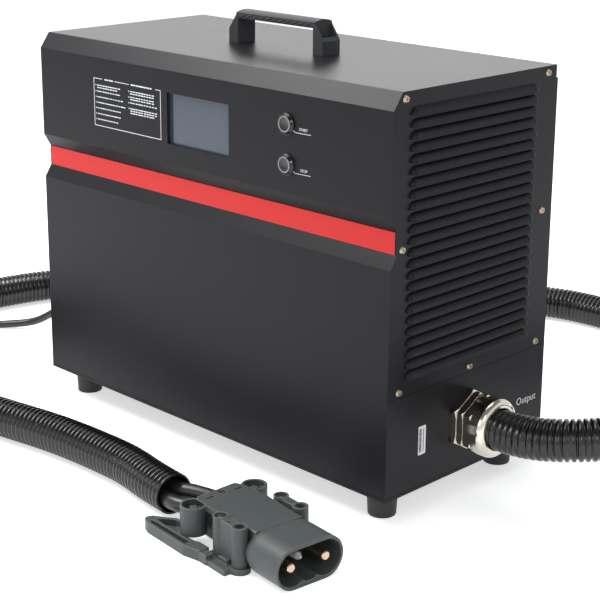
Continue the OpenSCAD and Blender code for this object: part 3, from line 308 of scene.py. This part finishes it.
STEEL = finish_material("zinc_steel", (0.62, 0.61, 0.6), 0.26, metallic=1.0, drift=0.2, bump=0.05)
PASSIVATED = finish_material("yellow_zinc", (0.42, 0.35, 0.24), 0.34, metallic=1.0, grain=1600.0, drift=0.5,
                             bump=0.3)
RUBBER = finish_material("foot_rubber", (0.012, 0.012, 0.012), 0.55, grain=1200.0, bump=0.3)
CONDUIT = finish_material("conduit_plastic", (0.006, 0.006, 0.0065), 0.2, grain=600.0, drift=0.15, bump=0.06)
CABLE = finish_material("cable_jacket", (0.016, 0.016, 0.017), 0.33, drift=0.15, bump=0.12)
# The plug's edge colour is a painted highlight along its moulded edges
PLUG = finish_material("plug_moulding", (0.066, 0.075, 0.076), 0.46, grain=1300.0, drift=0.14, bump=0.3,
                       specular=0.35, edge=(0.2, 0.19, 0.155), edge_radius=0.0012)
CONTACT = finish_material("contact_copper", (0.6, 0.42, 0.3), 0.3, metallic=1.0, grain=600.0, drift=0.15)
CODING = finish_material("coding_pin_plastic", (0.66, 0.66, 0.62), 0.4, drift=0.08)
PRINT = finish_material("white_print", (0.78, 0.79, 0.81), 0.5, grain=1500.0, drift=0.1)
LABEL = finish_material("paper_label", (0.78, 0.78, 0.79), 0.55, grain=1500.0, drift=0.05)
LABEL_INK = finish_material("label_ink", (0.13, 0.13, 0.14), 0.6, grain=1500.0, drift=0.2)
BOARD = finish_material("circuit_board", (0.012, 0.11, 0.05), 0.35, grain=500.0, drift=0.2)
ALUMINIUM = finish_material("heat_sink", (0.6, 0.61, 0.62), 0.35, metallic=1.0, grain=700.0, drift=0.15)
WINDING = finish_material("varnished_winding", (0.24, 0.12, 0.045), 0.4, grain=400.0, drift=0.3, bump=0.3)

# The finish of each material slot, and of the two nodes that have one of their own
FINISHES = {
    "handle": HANDLE, "cover_screws": PASSIVATED,
    "red_paint": RED, "screen_glass": SCREEN, "black_plastic": SATIN_BLACK, "gloss_black": GLOSS_BLACK,
    "light_ring": LIGHT_RING, "nickel": NICKEL, "steel": STEEL, "rubber": RUBBER, "cord": CABLE,
    "plug_plastic": PLUG, "contact": CONTACT, "coding": CODING, "board": BOARD, "aluminium": ALUMINIUM,
    "winding": WINDING, "powder_coat": POWDER,
}
SLOTS = {entry["node"]: entry["material_slot"] for entry in frame["record"]["subparts"]}


def finish_of(node):
    """The node's own finish where it has one, or else its material slot's."""
    return FINISHES.get(node) or FINISHES[SLOTS[node]]


def body_of_node(node):
    for body, names in frame["record"]["behaviour"]["bodies"].items():
        if node in names:
            return body


for node, piece in nodes.items():
    piece.data.materials.clear()
    piece.data.materials.append(finish_of(node))


# Mesh helpers
def new_piece(name, mesh, material, body, smooth=True):
    piece = new_object(name, mesh)
    if not mesh.materials:
        mesh.materials.append(material)
    for face in mesh.polygons:
        face.use_smooth = smooth
    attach(piece, body)
    return piece


def mesh_from(name, shape):
    """The mesh of a finished bmesh drawing."""
    mesh = bpy.data.meshes.new(name)
    shape.to_mesh(mesh)
    shape.free()
    return mesh


def evaluated_mesh(piece, name):
    """The piece's mesh after its modifiers; the piece itself is removed."""
    depsgraph = bpy.context.evaluated_depsgraph_get()
    shape = bpy.data.meshes.new_from_object(piece.evaluated_get(depsgraph), preserve_all_data_layers=True,
                                            depsgraph=depsgraph)
    shape.name = name
    bpy.data.objects.remove(piece)
    return shape


def apply_tree(piece, tree, values, name):
    """Runs a Geometry Nodes tree on a piece with the named inputs and returns the plain mesh."""
    made = piece.modifiers.new(tree.name, "NODES")
    made.node_group = tree
    for socket in tree.interface.items_tree:
        if socket.item_type == "SOCKET" and socket.in_out == "INPUT" and socket.name in values:
            made[socket.identifier] = values[socket.name]
    piece.update_tag()
    bpy.context.view_layer.update()
    return evaluated_mesh(piece, name)


def keep_flats(mesh, flat=0.01, crease=0.38, larger=8.0):
    """Marks as sharp the creases, and the border of a flat stretch far larger than its neighbour.

    Flat and crease are angles in radians, and larger is how many times larger counts as far larger.
    """
    shape = bmesh.new()
    shape.from_mesh(mesh)
    shape.normal_update()
    area = {}
    for seed in shape.faces:
        if seed.index in area:
            continue
        group, front = {seed}, [seed]
        while front:
            face = front.pop()
            for edge in face.edges:
                for other in edge.link_faces:
                    if other not in group and other.normal.dot(seed.normal) > 1 - flat * flat / 2:
                        group.add(other)
                        front.append(other)
        whole = sum(face.calc_area() for face in group)
        area.update((face.index, whole) for face in group)
    for edge in shape.edges:
        if len(edge.link_faces) != 2:
            edge.smooth = False
            continue
        a, b = edge.link_faces
        turn = a.normal.angle(b.normal, 0.0)
        smaller, bigger = sorted((area[a.index], area[b.index]))
        edge.smooth = turn < crease and (turn < flat or bigger < larger * smaller)
    shape.to_mesh(mesh)
    shape.free()


def softened(node, width, angle=25, segments=2, merged=0.00001, same_plane=0.6):
    """A copy of a CAD node with its sharp edges rounded, which stands for the node; angles in degrees."""
    mesh = nodes[node].data.copy()
    shape = bmesh.new()
    shape.from_mesh(mesh)
    bmesh.ops.remove_doubles(shape, verts=shape.verts, dist=merged)
    bmesh.ops.dissolve_limit(shape, angle_limit=math.radians(same_plane), verts=shape.verts,
                             edges=shape.edges)
    for face in shape.faces:
        face.smooth = True
    shape.to_mesh(mesh)
    shape.free()
    rough = new_object(node + "_rough", mesh)
    bevel = rough.modifiers.new("edges", "BEVEL")
    bevel.width = width
    bevel.segments = segments
    bevel.limit_method = "ANGLE"
    bevel.angle_limit = math.radians(angle)
    bpy.context.view_layer.update()
    soft = evaluated_mesh(rough, node + "_soft")
    keep_flats(soft)
    piece = new_piece(node + "_soft", soft, finish_of(node), body_of_node(node))
    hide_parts(node)
    return piece


def smooth_route(points, step, per_span=24):
    """Points at an even distance along a smooth curve through the given ones."""
    points = [Vector(p) for p in points]
    ends = [2 * points[0] - points[1]] + points + [2 * points[-1] - points[-2]]
    fine = []
    for a, b, c, d in zip(ends, ends[1:], ends[2:], ends[3:]):
        for i in range(per_span):
            t = i / per_span
            fine.append(0.5 * (2 * b + (c - a) * t + (2 * a - 5 * b + 4 * c - d) * t ** 2
                               + (3 * b - a - 3 * c + d) * t ** 3))
    fine.append(points[-1])
    total = route_length(fine)
    count = max(2, round(total / step))
    spaced, walked, target = [fine[0]], 0.0, total / count
    for a, b in zip(fine, fine[1:]):
        length = (b - a).length
        while length > 0 and walked + length >= target - 1e-12 and len(spaced) < count:
            spaced.append(a.lerp(b, (target - walked) / length))
            target += total / count
        walked += length
    spaced.append(fine[-1])
    return spaced


def route_length(points):
    return sum((b - a).length for a, b in zip(points, points[1:]))


def curve_through(name, points, radius=0.0, resolution=5):
    data = bpy.data.curves.new(name, "CURVE")
    data.dimensions = "3D"
    data.twist_mode = "MINIMUM"
    data.bevel_depth = radius
    data.bevel_resolution = resolution
    data.use_fill_caps = True
    line = data.splines.new("POLY")
    line.points.add(len(points) - 1)
    for knot, point in zip(line.points, points):
        knot.co = (*point, 1)
    return data


# Corrugated conduit
CONDUIT_ROUTE = [
    (0.284, 0, 0.083), (0.322, 0, 0.083), (0.352, 0.004, 0.085), (0.384, 0.019, 0.089), (0.409, 0.046, 0.091),
    (0.422, 0.082, 0.09), (0.426, 0.125, 0.084), (0.426, 0.19, 0.068), (0.426, 0.27, 0.04),
    (0.426, 0.34, 0.024), (0.42, 0.41, 0.0215), (0.391, 0.472, 0.0215), (0.341, 0.519, 0.0215),
    (0.277, 0.543, 0.0215), (0.205, 0.546, 0.0215), (0.13, 0.546, 0.0215), (0.062, 0.546, 0.0215),
    (0.012, 0.541, 0.0215), (-0.034, 0.524, 0.0215), (-0.08, 0.492, 0.0215), (-0.16, 0.428, 0.0215),
    (-0.25, 0.362, 0.0215), (-0.34, 0.299, 0.0215), (-0.43, 0.233, 0.0215), (-0.505, 0.166, 0.0215),
    (-0.556, 0.09, 0.0215), (-0.578, 0.01, 0.0215), (-0.578, -0.05, 0.0215), (-0.578, -0.1, 0.0215),
    (-0.565, -0.166, 0.0215), (-0.528, -0.222, 0.0215), (-0.472, -0.259, 0.0215), (-0.406, -0.272, 0.0215),
    (-0.3, -0.266, 0.0215), (-0.194, -0.25, 0.0215), (-0.102, -0.235, 0.0215), (-0.005, -0.231, 0.0215),
    (0.055, -0.239, 0.0215), (0.095, -0.2435, 0.0215),
]
CONDUIT_STEP = 0.01
CONDUIT_PITCH = 0.0063
CONDUIT_SIDES = 28
CONDUIT_WALL = 0.0029
GROOVE_DEPTH = 0.0027
SHOULDER_SHARE = 0.14
RIB_RINGS = 6
CREST_RINGS = 4
MOUTH_RINGS = 72


def rib_tree():
    """Sweeps a ring along the curve; a rib has four rings over its round crest and two in its groove."""
    tree, start, end = geometry_tree("ribbed_hose", [
        ("Ribs", "Int", 100), ("Crest Radius", "Float", 0.02), ("Groove Depth", "Float", 0.0025)])
    given = start.outputs
    count = math_node(tree, "MULTIPLY_ADD", given["Ribs"], RIB_RINGS, CREST_RINGS)
    spaced = add(tree, "GeometryNodeResampleCurve", Curve=given["Geometry"], Count=count)
    index = add(tree, "GeometryNodeInputIndex").outputs[0]
    place = math_node(tree, "MODULO", index, RIB_RINGS)
    # Each ring's distance from its crest's middle: past 1 on the shoulders and past 2 in the groove
    aside = math_node(tree, "ABSOLUTE", math_node(tree, "SUBTRACT", place, (CREST_RINGS - 1) / 2))
    shoulder = math_node(tree, "MULTIPLY", math_node(tree, "GREATER_THAN", aside, 1.0), SHOULDER_SHARE)
    groove = math_node(tree, "MULTIPLY", math_node(tree, "GREATER_THAN", aside, 2.0), 1 - SHOULDER_SHARE)
    depth = math_node(tree, "MULTIPLY", math_node(tree, "ADD", shoulder, groove), given["Groove Depth"])
    radius = math_node(tree, "SUBTRACT", given["Crest Radius"], depth)
    ring = add(tree, "GeometryNodeCurvePrimitiveCircle", Resolution=CONDUIT_SIDES, Radius=1.0)
    swept = add(tree, "GeometryNodeCurveToMesh", Curve=spaced.outputs[0], Profile_Curve=ring.outputs["Curve"],
                Scale=radius)
    close_tree(tree, start, end, swept.outputs[0])
    return tree


def open_mouth(mesh):
    """Folds the last rings of the hose inwards, to a wall and a hollow at its mouth, and caps its start."""
    shape = bmesh.new()
    shape.from_mesh(mesh)
    shape.verts.ensure_lookup_table()
    verts = list(shape.verts)
    rings = [verts[i:i + CONDUIT_SIDES] for i in range(0, len(verts), CONDUIT_SIDES)]
    before = rings[-1]
    for ring in reversed(rings[-MOUTH_RINGS:]):
        centre = sum((vert.co for vert in ring), Vector()) / CONDUIT_SIDES
        arms = [(vert.co - centre).normalized() * (CONDUIT_R - CONDUIT_WALL) for vert in ring]
        inner = [shape.verts.new(centre + arm) for arm in arms]
        for k in range(CONDUIT_SIDES):
            m = (k + 1) % CONDUIT_SIDES
            shape.faces.new((before[k], before[m], inner[m], inner[k]))
        before = inner
    shape.faces.new(before)
    shape.faces.new(rings[0])
    bmesh.ops.recalc_face_normals(shape, faces=shape.faces)
    shape.to_mesh(mesh)
    shape.free()


conduit_line = smooth_route(CONDUIT_ROUTE, CONDUIT_STEP)
conduit_length = route_length(conduit_line)
conduit_curve = new_object("conduit_line", curve_through("conduit_line", conduit_line))
conduit_mesh = apply_tree(conduit_curve, rib_tree(), {
    "Ribs": round(conduit_length / CONDUIT_PITCH), "Crest Radius": CONDUIT_R, "Groove Depth": GROOVE_DEPTH,
    "Finish": CONDUIT,
}, "conduit_ribs")
open_mouth(conduit_mesh)
conduit = new_piece("conduit_ribs", conduit_mesh, CONDUIT, "cabinet")
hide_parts("output_conduit")

# Power cables between the conduit and the plug
FAR_ROUTE = [(0.06, -0.2335, 0.0245), (0.094, -0.2355, 0.0245), (0.112, -0.231, 0.025),
             (0.131, -0.225, 0.024), (0.146, -0.2203, 0.0215), (0.1575, -0.2214, 0.021)]
NEAR_ROUTE = [(0.06, -0.247, 0.0185), (0.093, -0.2515, 0.0187), (0.11, -0.2525, 0.0195),
              (0.128, -0.249, 0.0203), (0.143, -0.245, 0.021), (0.1548, -0.2463, 0.021)]
CABLE_STEP = 0.004


def power_cable(name, route, node):
    line = smooth_route(route, CABLE_STEP)
    source = new_object(name, curve_through(name, line, CABLE_R, resolution=6))
    bpy.context.view_layer.update()
    piece = new_piece(name, evaluated_mesh(source, name), CABLE, "cabinet")
    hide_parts(node)
    return piece


far_cable = power_cable("far_cable", FAR_ROUTE, "output_cable_far")
near_cable = power_cable("near_cable", NEAR_ROUTE, "output_cable_near")

# Mains lead: down from its gland, into a neat coil, and over the coil to its plug
MAINS_ROUTE = [(-0.290, 0, 0.080), (-0.330, 0, 0.080), (-0.365, 0, 0.070), (-0.400, 0, 0.052),
               (-0.432, -0.002, 0.031), (-0.465, -0.013, 0.012), (-0.500, -0.038, 0.0052),
               (-0.513, -0.053, 0.0052), (-0.520, -0.078, 0.0052), (-0.520, -0.120, 0.0052)]
MAINS_TAIL = [(-0.485, -0.1205, 0.0275), (-0.4995, -0.135, 0.032), (-0.505, -0.155, 0.0385),
              (-0.4995, -0.175, 0.045), (-0.4849, -0.1895, 0.0493), (-0.4728, -0.1965, 0.0493)]
# Radius and height of each turn of the coil, two turns wide and three high
COIL_TURNS = [(0.055, 0.0052), (0.045, 0.0052), (0.045, 0.0152), (0.055, 0.0152), (0.055, 0.0252),
              (0.045, 0.0252)]


def coil_route(steps=40, left_out=10, passing=0.2):
    """The coil's turns from its left to its far side; each passes over to the next in its last fifth."""
    points = []
    for i in range(len(COIL_TURNS) * steps - left_out + 1):
        turn, share = divmod(i / steps, 1)
        here = COIL_TURNS[int(turn)]
        after = COIL_TURNS[min(int(turn) + 1, len(COIL_TURNS) - 1)]
        share = max(0.0, (share - (1 - passing)) / passing)
        share = share * share * (3 - 2 * share)
        radius, height = (a + (b - a) * share for a, b in zip(here, after))
        angle = math.pi + 2 * math.pi * i / steps
        points.append((COIL_POS.x + radius * math.cos(angle), COIL_POS.y + radius * math.sin(angle), height))
    return points


mains_line = smooth_route(MAINS_ROUTE + coil_route() + MAINS_TAIL, CABLE_STEP)
mains_curve = curve_through("mains_lead_cable", mains_line, MAINS_R, resolution=4)
mains_lead = new_object("mains_lead_cable", mains_curve)
mains_lead.data.materials.append(CABLE)
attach(mains_lead, "cabinet")
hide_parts("mains_lead", "mains_coil")

mains_plug = softened("mains_plug", 0.0008)

# Folded sheet, turned metal and mouldings, whose edges are never knife-sharp: each node's edge width
SOFT_EDGES = {
    "front_panel": 0.0009, "top_cover": 0.0008, "rear_panel": 0.0005, "side_cover_left": 0.00035,
    "side_cover_right": 0.00035, "skirt_left": 0.00035, "skirt_right": 0.00035, "handle": 0.0006,
    "output_locknut": 0.0012, "output_gland": 0.0005, "output_dome_nut": 0.0005, "mains_gland": 0.0003,
    "mains_dome_nut": 0.0003, "start_body": 0.00025, "stop_body": 0.00025, "foot_front_left": 0.0012,
    "foot_front_right": 0.0012, "foot_rear_left": 0.0012, "foot_rear_right": 0.0012,
}
for node, width in SOFT_EDGES.items():
    softened(node, width)


# Printed marks
def on_wall(corner, right):
    """Turns a flat drawing, x to the right and y up, on to the upright wall whose outside it faces."""
    right, up = Vector(right), Vector((0, 0, 1))
    return Matrix.Translation(corner) @ Matrix((right, up, right.cross(up))).transposed().to_4x4()


FRONT_WALL = on_wall((0, FRONT_Y, FOOT_H), (1, 0, 0))
RIGHT_WALL = on_wall((HALF_W, FRONT_Y, FOOT_H), (0, 1, 0))
INK_T = 0.00012
OUTLINE_W = 0.0007
BULLET_W = 0.0012
LEADER_W = 0.0005


def thicken(shape):
    """Gives a flat drawing the thickness of a coat of ink."""
    made = bmesh.ops.extrude_face_region(shape, geom=shape.faces[:])
    for item in made["geom"]:
        if isinstance(item, bmesh.types.BMVert):
            item.co.z += INK_T
    bmesh.ops.recalc_face_normals(shape, faces=shape.faces)


def mark_piece(name, shape, wall, finish=PRINT):
    """A printed piece from its bmesh drawing, turned on to its wall."""
    mesh = mesh_from(name, shape)
    mesh.transform(wall)
    return new_piece(name, mesh, finish, "cabinet", smooth=False)


def lettering(name, words, left, baseline, width, wall, merged=0.0001):
    """A printed word of a given width, its left end and baseline measured on the wall."""
    data = bpy.data.curves.new(name, "FONT")
    data.body = words
    source = new_object(name, data)
    bpy.context.view_layer.update()
    flat = evaluated_mesh(source, name)
    shape = bmesh.new()
    shape.from_mesh(flat)
    bpy.data.meshes.remove(flat)
    across = [vert.co.x for vert in shape.verts]
    scale = width / (max(across) - min(across))
    bmesh.ops.remove_doubles(shape, verts=shape.verts, dist=merged)
    for vert in shape.verts:
        vert.co = ((vert.co.x - min(across)) * scale + left, vert.co.y * scale + baseline, 0)
    thicken(shape)
    return mark_piece(name, shape, wall)


def line_marks(name, lines, width, wall, blunt=0.3):
    """Printed lines of an even width, mitred at their corners; blunt keeps a sharp corner's mitre short."""
    out = Vector((0, 0, 1))
    shape = bmesh.new()
    for line in lines:
        points = [Vector((*p, 0)) for p in line]
        sides = []
        for i, point in enumerate(points):
            before = (point - points[i - 1]).normalized() if i else None
            after = (points[i + 1] - point).normalized() if i + 1 < len(points) else before
            before = before or after
            across = (before + after).normalized().cross(out)
            across *= width / 2 / max(blunt, across.dot(before.cross(out)))
            sides.append((shape.verts.new(point - across), shape.verts.new(point + across)))
        for (a, b), (c, d) in zip(sides, sides[1:]):
            shape.faces.new((a, b, d, c))
    thicken(shape)
    return mark_piece(name, shape, wall)


# A bar's shortest and longest share of its pitch, the first block's seed, and what the rows add to it
SHORT_BAR, LONG_BAR = 0.6, 0.92
FIRST_SEED, ROW_SEED = 11, 7.0


def rows_tree():
    """Rows of short bars of random length, like the lines of a small printed text."""
    tree, start, end = geometry_tree("printed_rows", [
        ("Rows", "Int", 8), ("Words", "Int", 6), ("Shortest Row", "Int", 3), ("Word Pitch", "Float", 0.006),
        ("Row Pitch", "Float", 0.003), ("Bar Height", "Float", 0.0012), ("Thickness", "Float", 0.0001),
        ("Seed", "Int", 1)])
    given = start.outputs
    index = add(tree, "GeometryNodeInputIndex").outputs[0]
    row = math_node(tree, "FLOOR", math_node(tree, "DIVIDE", index, given["Words"]))
    word = math_node(tree, "MODULO", index, given["Words"])

    def random_value(low, high, ident, offset=0.0):
        """A random number between the two; the node's third and fourth inputs are its limits as numbers."""
        seed = math_node(tree, "ADD", given["Seed"], offset)
        made = add(tree, "FunctionNodeRandomValue", options={"data_type": "FLOAT"}, ID=ident, Seed=seed)
        feed(tree, made.inputs[2], low)
        feed(tree, made.inputs[3], high)
        return made.outputs[1]

    share = random_value(SHORT_BAR, LONG_BAR, index)
    length = math_node(tree, "MULTIPLY", share, given["Word Pitch"])
    left = math_node(tree, "MULTIPLY", word, given["Word Pitch"])
    middle = math_node(tree, "MULTIPLY_ADD", length, 0.5, left)
    down = math_node(tree, "MULTIPLY", math_node(tree, "MULTIPLY", row, given["Row Pitch"]), -1.0)
    height = math_node(tree, "MULTIPLY", given["Thickness"], 0.5)
    where = add(tree, "ShaderNodeCombineXYZ", middle, down, height)
    line = add(tree, "GeometryNodeMeshLine", Count=math_node(tree, "MULTIPLY", given["Rows"], given["Words"]))
    placed = add(tree, "GeometryNodeSetPosition", Geometry=line.outputs[0], Position=where.outputs[0])
    bar = add(tree, "GeometryNodeMeshCube", Size=(1, 1, 1))
    size = add(tree, "ShaderNodeCombineXYZ", length, given["Bar Height"], given["Thickness"])
    row_end = random_value(given["Shortest Row"], given["Words"], row, ROW_SEED)
    kept = math_node(tree, "LESS_THAN", word, row_end)
    bars = add(tree, "GeometryNodeInstanceOnPoints", Points=placed.outputs[0], Selection=kept,
               Instance=bar.outputs["Mesh"], Scale=size.outputs[0])
    close_tree(tree, start, end, bars.outputs[0])
    return tree


ROWS = rows_tree()


def printed_rows(name, blocks, wall, finish=PRINT, turn=0.0, **sizes):
    """Blocks of printed rows as one piece: each gives its left end, its first row's height and its rows."""
    shape = bmesh.new()
    for number, (left, top, rows) in enumerate(blocks):
        source = new_object(name, bpy.data.meshes.new(name))
        values = {"Rows": rows, "Thickness": INK_T, "Seed": FIRST_SEED + number, "Finish": finish}
        values.update({key.replace("_", " "): value for key, value in sizes.items()})
        mesh = apply_tree(source, ROWS, values, name)
        mesh.transform(Matrix.Translation((left, top, 0)) @ Matrix.Rotation(turn, 4, "Z"))
        shape.from_mesh(mesh)
        bpy.data.meshes.remove(mesh)
    return mark_piece(name, shape, wall, finish)


# The notice beside the display: an outline, open at the top for two short titles, and two columns of rows
BOX_L, BOX_R, BOX_LOW, BOX_TOP = -0.1705, -0.0578, 0.3086, 0.3608
LEFT_TITLE, RIGHT_TITLE = (BOX_L + 0.0190, BOX_TOP, 1), (BOX_L + 0.0640, BOX_TOP, 1)
NOTICE_OUTLINE = [
    [(BOX_L + 0.0145, BOX_TOP), (BOX_L, BOX_TOP), (BOX_L, BOX_LOW), (BOX_R, BOX_LOW), (BOX_R, BOX_TOP),
     (BOX_R - 0.0080, BOX_TOP)],
    [(BOX_L + 0.0360, BOX_TOP), (BOX_L + 0.0605, BOX_TOP)],
]
LEFT_X, RIGHT_X, ROWS_TOP, ROWS_STEP = BOX_L + 0.0056, BOX_L + 0.0625, 0.3535, 0.0062
# Under its first block the left column stands a little lower
LOWER_TOP = ROWS_TOP - 0.0005
LEFT_ROWS = [(LEFT_X, ROWS_TOP, 2)] + [(LEFT_X, LOWER_TOP - ROWS_STEP * i, 1) for i in range(1, 7)]
RIGHT_ROWS = [(RIGHT_X, ROWS_TOP - ROWS_STEP * i, rows) for i, rows in ((0, 2), (1, 2), (2, 1), (3, 3))]
# A bullet stands before each block of rows; these are its ends, measured back from the row's left end
BULLET_FROM, BULLET_TO = 0.0030, 0.0018
BULLETS = [[(x - BULLET_FROM, z), (x - BULLET_TO, z)] for x, z, _ in LEFT_ROWS + RIGHT_ROWS]

line_marks("notice_outline", NOTICE_OUTLINE, OUTLINE_W, FRONT_WALL)
printed_rows("notice_title_left", [LEFT_TITLE], FRONT_WALL, Words=4, Shortest_Row=4, Word_Pitch=0.0037,
             Bar_Height=0.0015)
printed_rows("notice_title_right", [RIGHT_TITLE], FRONT_WALL, Words=8, Shortest_Row=8, Word_Pitch=0.0045,
             Bar_Height=0.0015)
printed_rows("notice_rows_left", LEFT_ROWS, FRONT_WALL, Words=11, Shortest_Row=7, Word_Pitch=0.0045,
             Row_Pitch=0.0027, Bar_Height=0.0011)
printed_rows("notice_rows_right", RIGHT_ROWS, FRONT_WALL, Words=10, Shortest_Row=8, Word_Pitch=0.0045,
             Row_Pitch=0.0025, Bar_Height=0.0011)
line_marks("notice_bullets", BULLETS, BULLET_W, FRONT_WALL)

# Words and leader lines beside the buttons: both words end at the same place, and STOP's stand lower
WORD_RIGHT, WORD_BASE = 0.1590, 0.3486
LEADER = [(0.1387, 0.3487), (0.1421, 0.3459), (0.1633, 0.3463)]
for word, name, wide, drop in (("START", "start", 0.0112, 0.0), ("STOP", "stop", 0.0092, BUTTON_GAP)):
    lettering(name + "_word", word, WORD_RIGHT - wide, WORD_BASE - drop, wide, FRONT_WALL)
    line_marks(name + "_leader", [[(x, z - drop) for x, z in LEADER]], LEADER_W, FRONT_WALL)

# The word over the outlet
lettering("outlet_word", "Output", left=0.2045, baseline=0.0445, width=0.0330, wall=RIGHT_WALL)

# The plain white label on the right wall, with upright rows of bars
LABEL_BOX = (0.0470, 0.0580, 0.0360, 0.0660)
LABEL_CORNER = 0.0012
BARS_X, ROW_X, LABEL_ROW_LOW = 0.0500, 0.0545, 0.0390
ON_LABEL = RIGHT_WALL @ Matrix.Translation((0, 0, INK_T))


def rounded_plate(left, right, low, high, radius, steps=5):
    corners = ((right - radius, high - radius, 0), (left + radius, high - radius, 90),
               (left + radius, low + radius, 180), (right - radius, low + radius, 270))
    return [(x + radius * math.cos(math.radians(turn + 90 * i / steps)),
             z + radius * math.sin(math.radians(turn + 90 * i / steps)))
            for x, z, turn in corners for i in range(steps + 1)]


def label_piece():
    shape = bmesh.new()
    shape.faces.new([shape.verts.new((x, z, 0)) for x, z in rounded_plate(*LABEL_BOX, LABEL_CORNER)])
    thicken(shape)
    return mark_piece("white_label", shape, RIGHT_WALL, LABEL)


label_piece()
printed_rows("label_bars", [(BARS_X, LABEL_ROW_LOW, 1)], ON_LABEL, finish=LABEL_INK, turn=math.pi / 2,
             Words=19, Shortest_Row=19, Word_Pitch=0.0013, Bar_Height=0.0032)
printed_rows("label_rows", [(ROW_X, LABEL_ROW_LOW, 1)], ON_LABEL, finish=LABEL_INK, turn=math.pi / 2,
             Words=12, Shortest_Row=12, Word_Pitch=0.0020, Bar_Height=0.0012)

# Slanting ridges along both faces of the handle's bar
BAR_FACE_Y = 0.01455
BAR_MID_Z = 0.4604
RIDGE_SIZES = {"Count": 11, "Pitch": 0.0098, "Length": 0.0105, "Width": 0.0022, "Height": 0.00035,
               "Slant": 0.3}


def ridge_tree():
    """A row of slanting ridges along X; each is a flattened bar of eight sides, half sunk in the face."""
    tree, start, end = geometry_tree("slanting_ridges", [
        ("Count", "Int", 10), ("Pitch", "Float", 0.01), ("Length", "Float", 0.01), ("Width", "Float", 0.003),
        ("Height", "Float", 0.0005), ("Slant", "Float", 0.6)])
    given = start.outputs
    line = add(tree, "GeometryNodeMeshLine", Count=given["Count"])
    index = add(tree, "GeometryNodeInputIndex").outputs[0]
    half = math_node(tree, "MULTIPLY", math_node(tree, "SUBTRACT", given["Count"], 1.0), 0.5)
    step = math_node(tree, "SUBTRACT", index, half)
    where = add(tree, "ShaderNodeCombineXYZ", math_node(tree, "MULTIPLY", step, given["Pitch"]))
    placed = add(tree, "GeometryNodeSetPosition", Geometry=line.outputs[0], Position=where.outputs[0])
    bar = add(tree, "GeometryNodeMeshCylinder", Vertices=8, Radius=0.5, Depth=1.0)
    lying = add(tree, "GeometryNodeTransform", Geometry=bar.outputs["Mesh"], Rotation=(0, math.pi / 2, 0))
    tall = math_node(tree, "MULTIPLY", given["Height"], 2.0)
    size = add(tree, "ShaderNodeCombineXYZ", given["Length"], given["Width"], tall)
    sized = add(tree, "GeometryNodeTransform", Geometry=lying.outputs[0], Scale=size.outputs[0])
    turn = add(tree, "ShaderNodeCombineXYZ", Z=given["Slant"])
    ridges = add(tree, "GeometryNodeInstanceOnPoints", Points=placed.outputs[0], Instance=sized.outputs[0],
                 Rotation=turn.outputs[0])
    close_tree(tree, start, end, ridges.outputs[0])
    return tree


def grip_ridges():
    tree = ridge_tree()
    shape = bmesh.new()
    for face_y, right in ((-BAR_FACE_Y, (1, 0, 0)), (BAR_FACE_Y, (-1, 0, 0))):
        source = new_object("grip_ridges", bpy.data.meshes.new("grip_ridges"))
        row = apply_tree(source, tree, {**RIDGE_SIZES, "Finish": HANDLE}, "grip_ridges")
        row.transform(on_wall((0, face_y, BAR_MID_Z), right))
        shape.from_mesh(row)
        bpy.data.meshes.remove(row)
    return new_piece("grip_ridges", mesh_from("grip_ridges", shape), HANDLE, "cabinet")


grip_ridges()
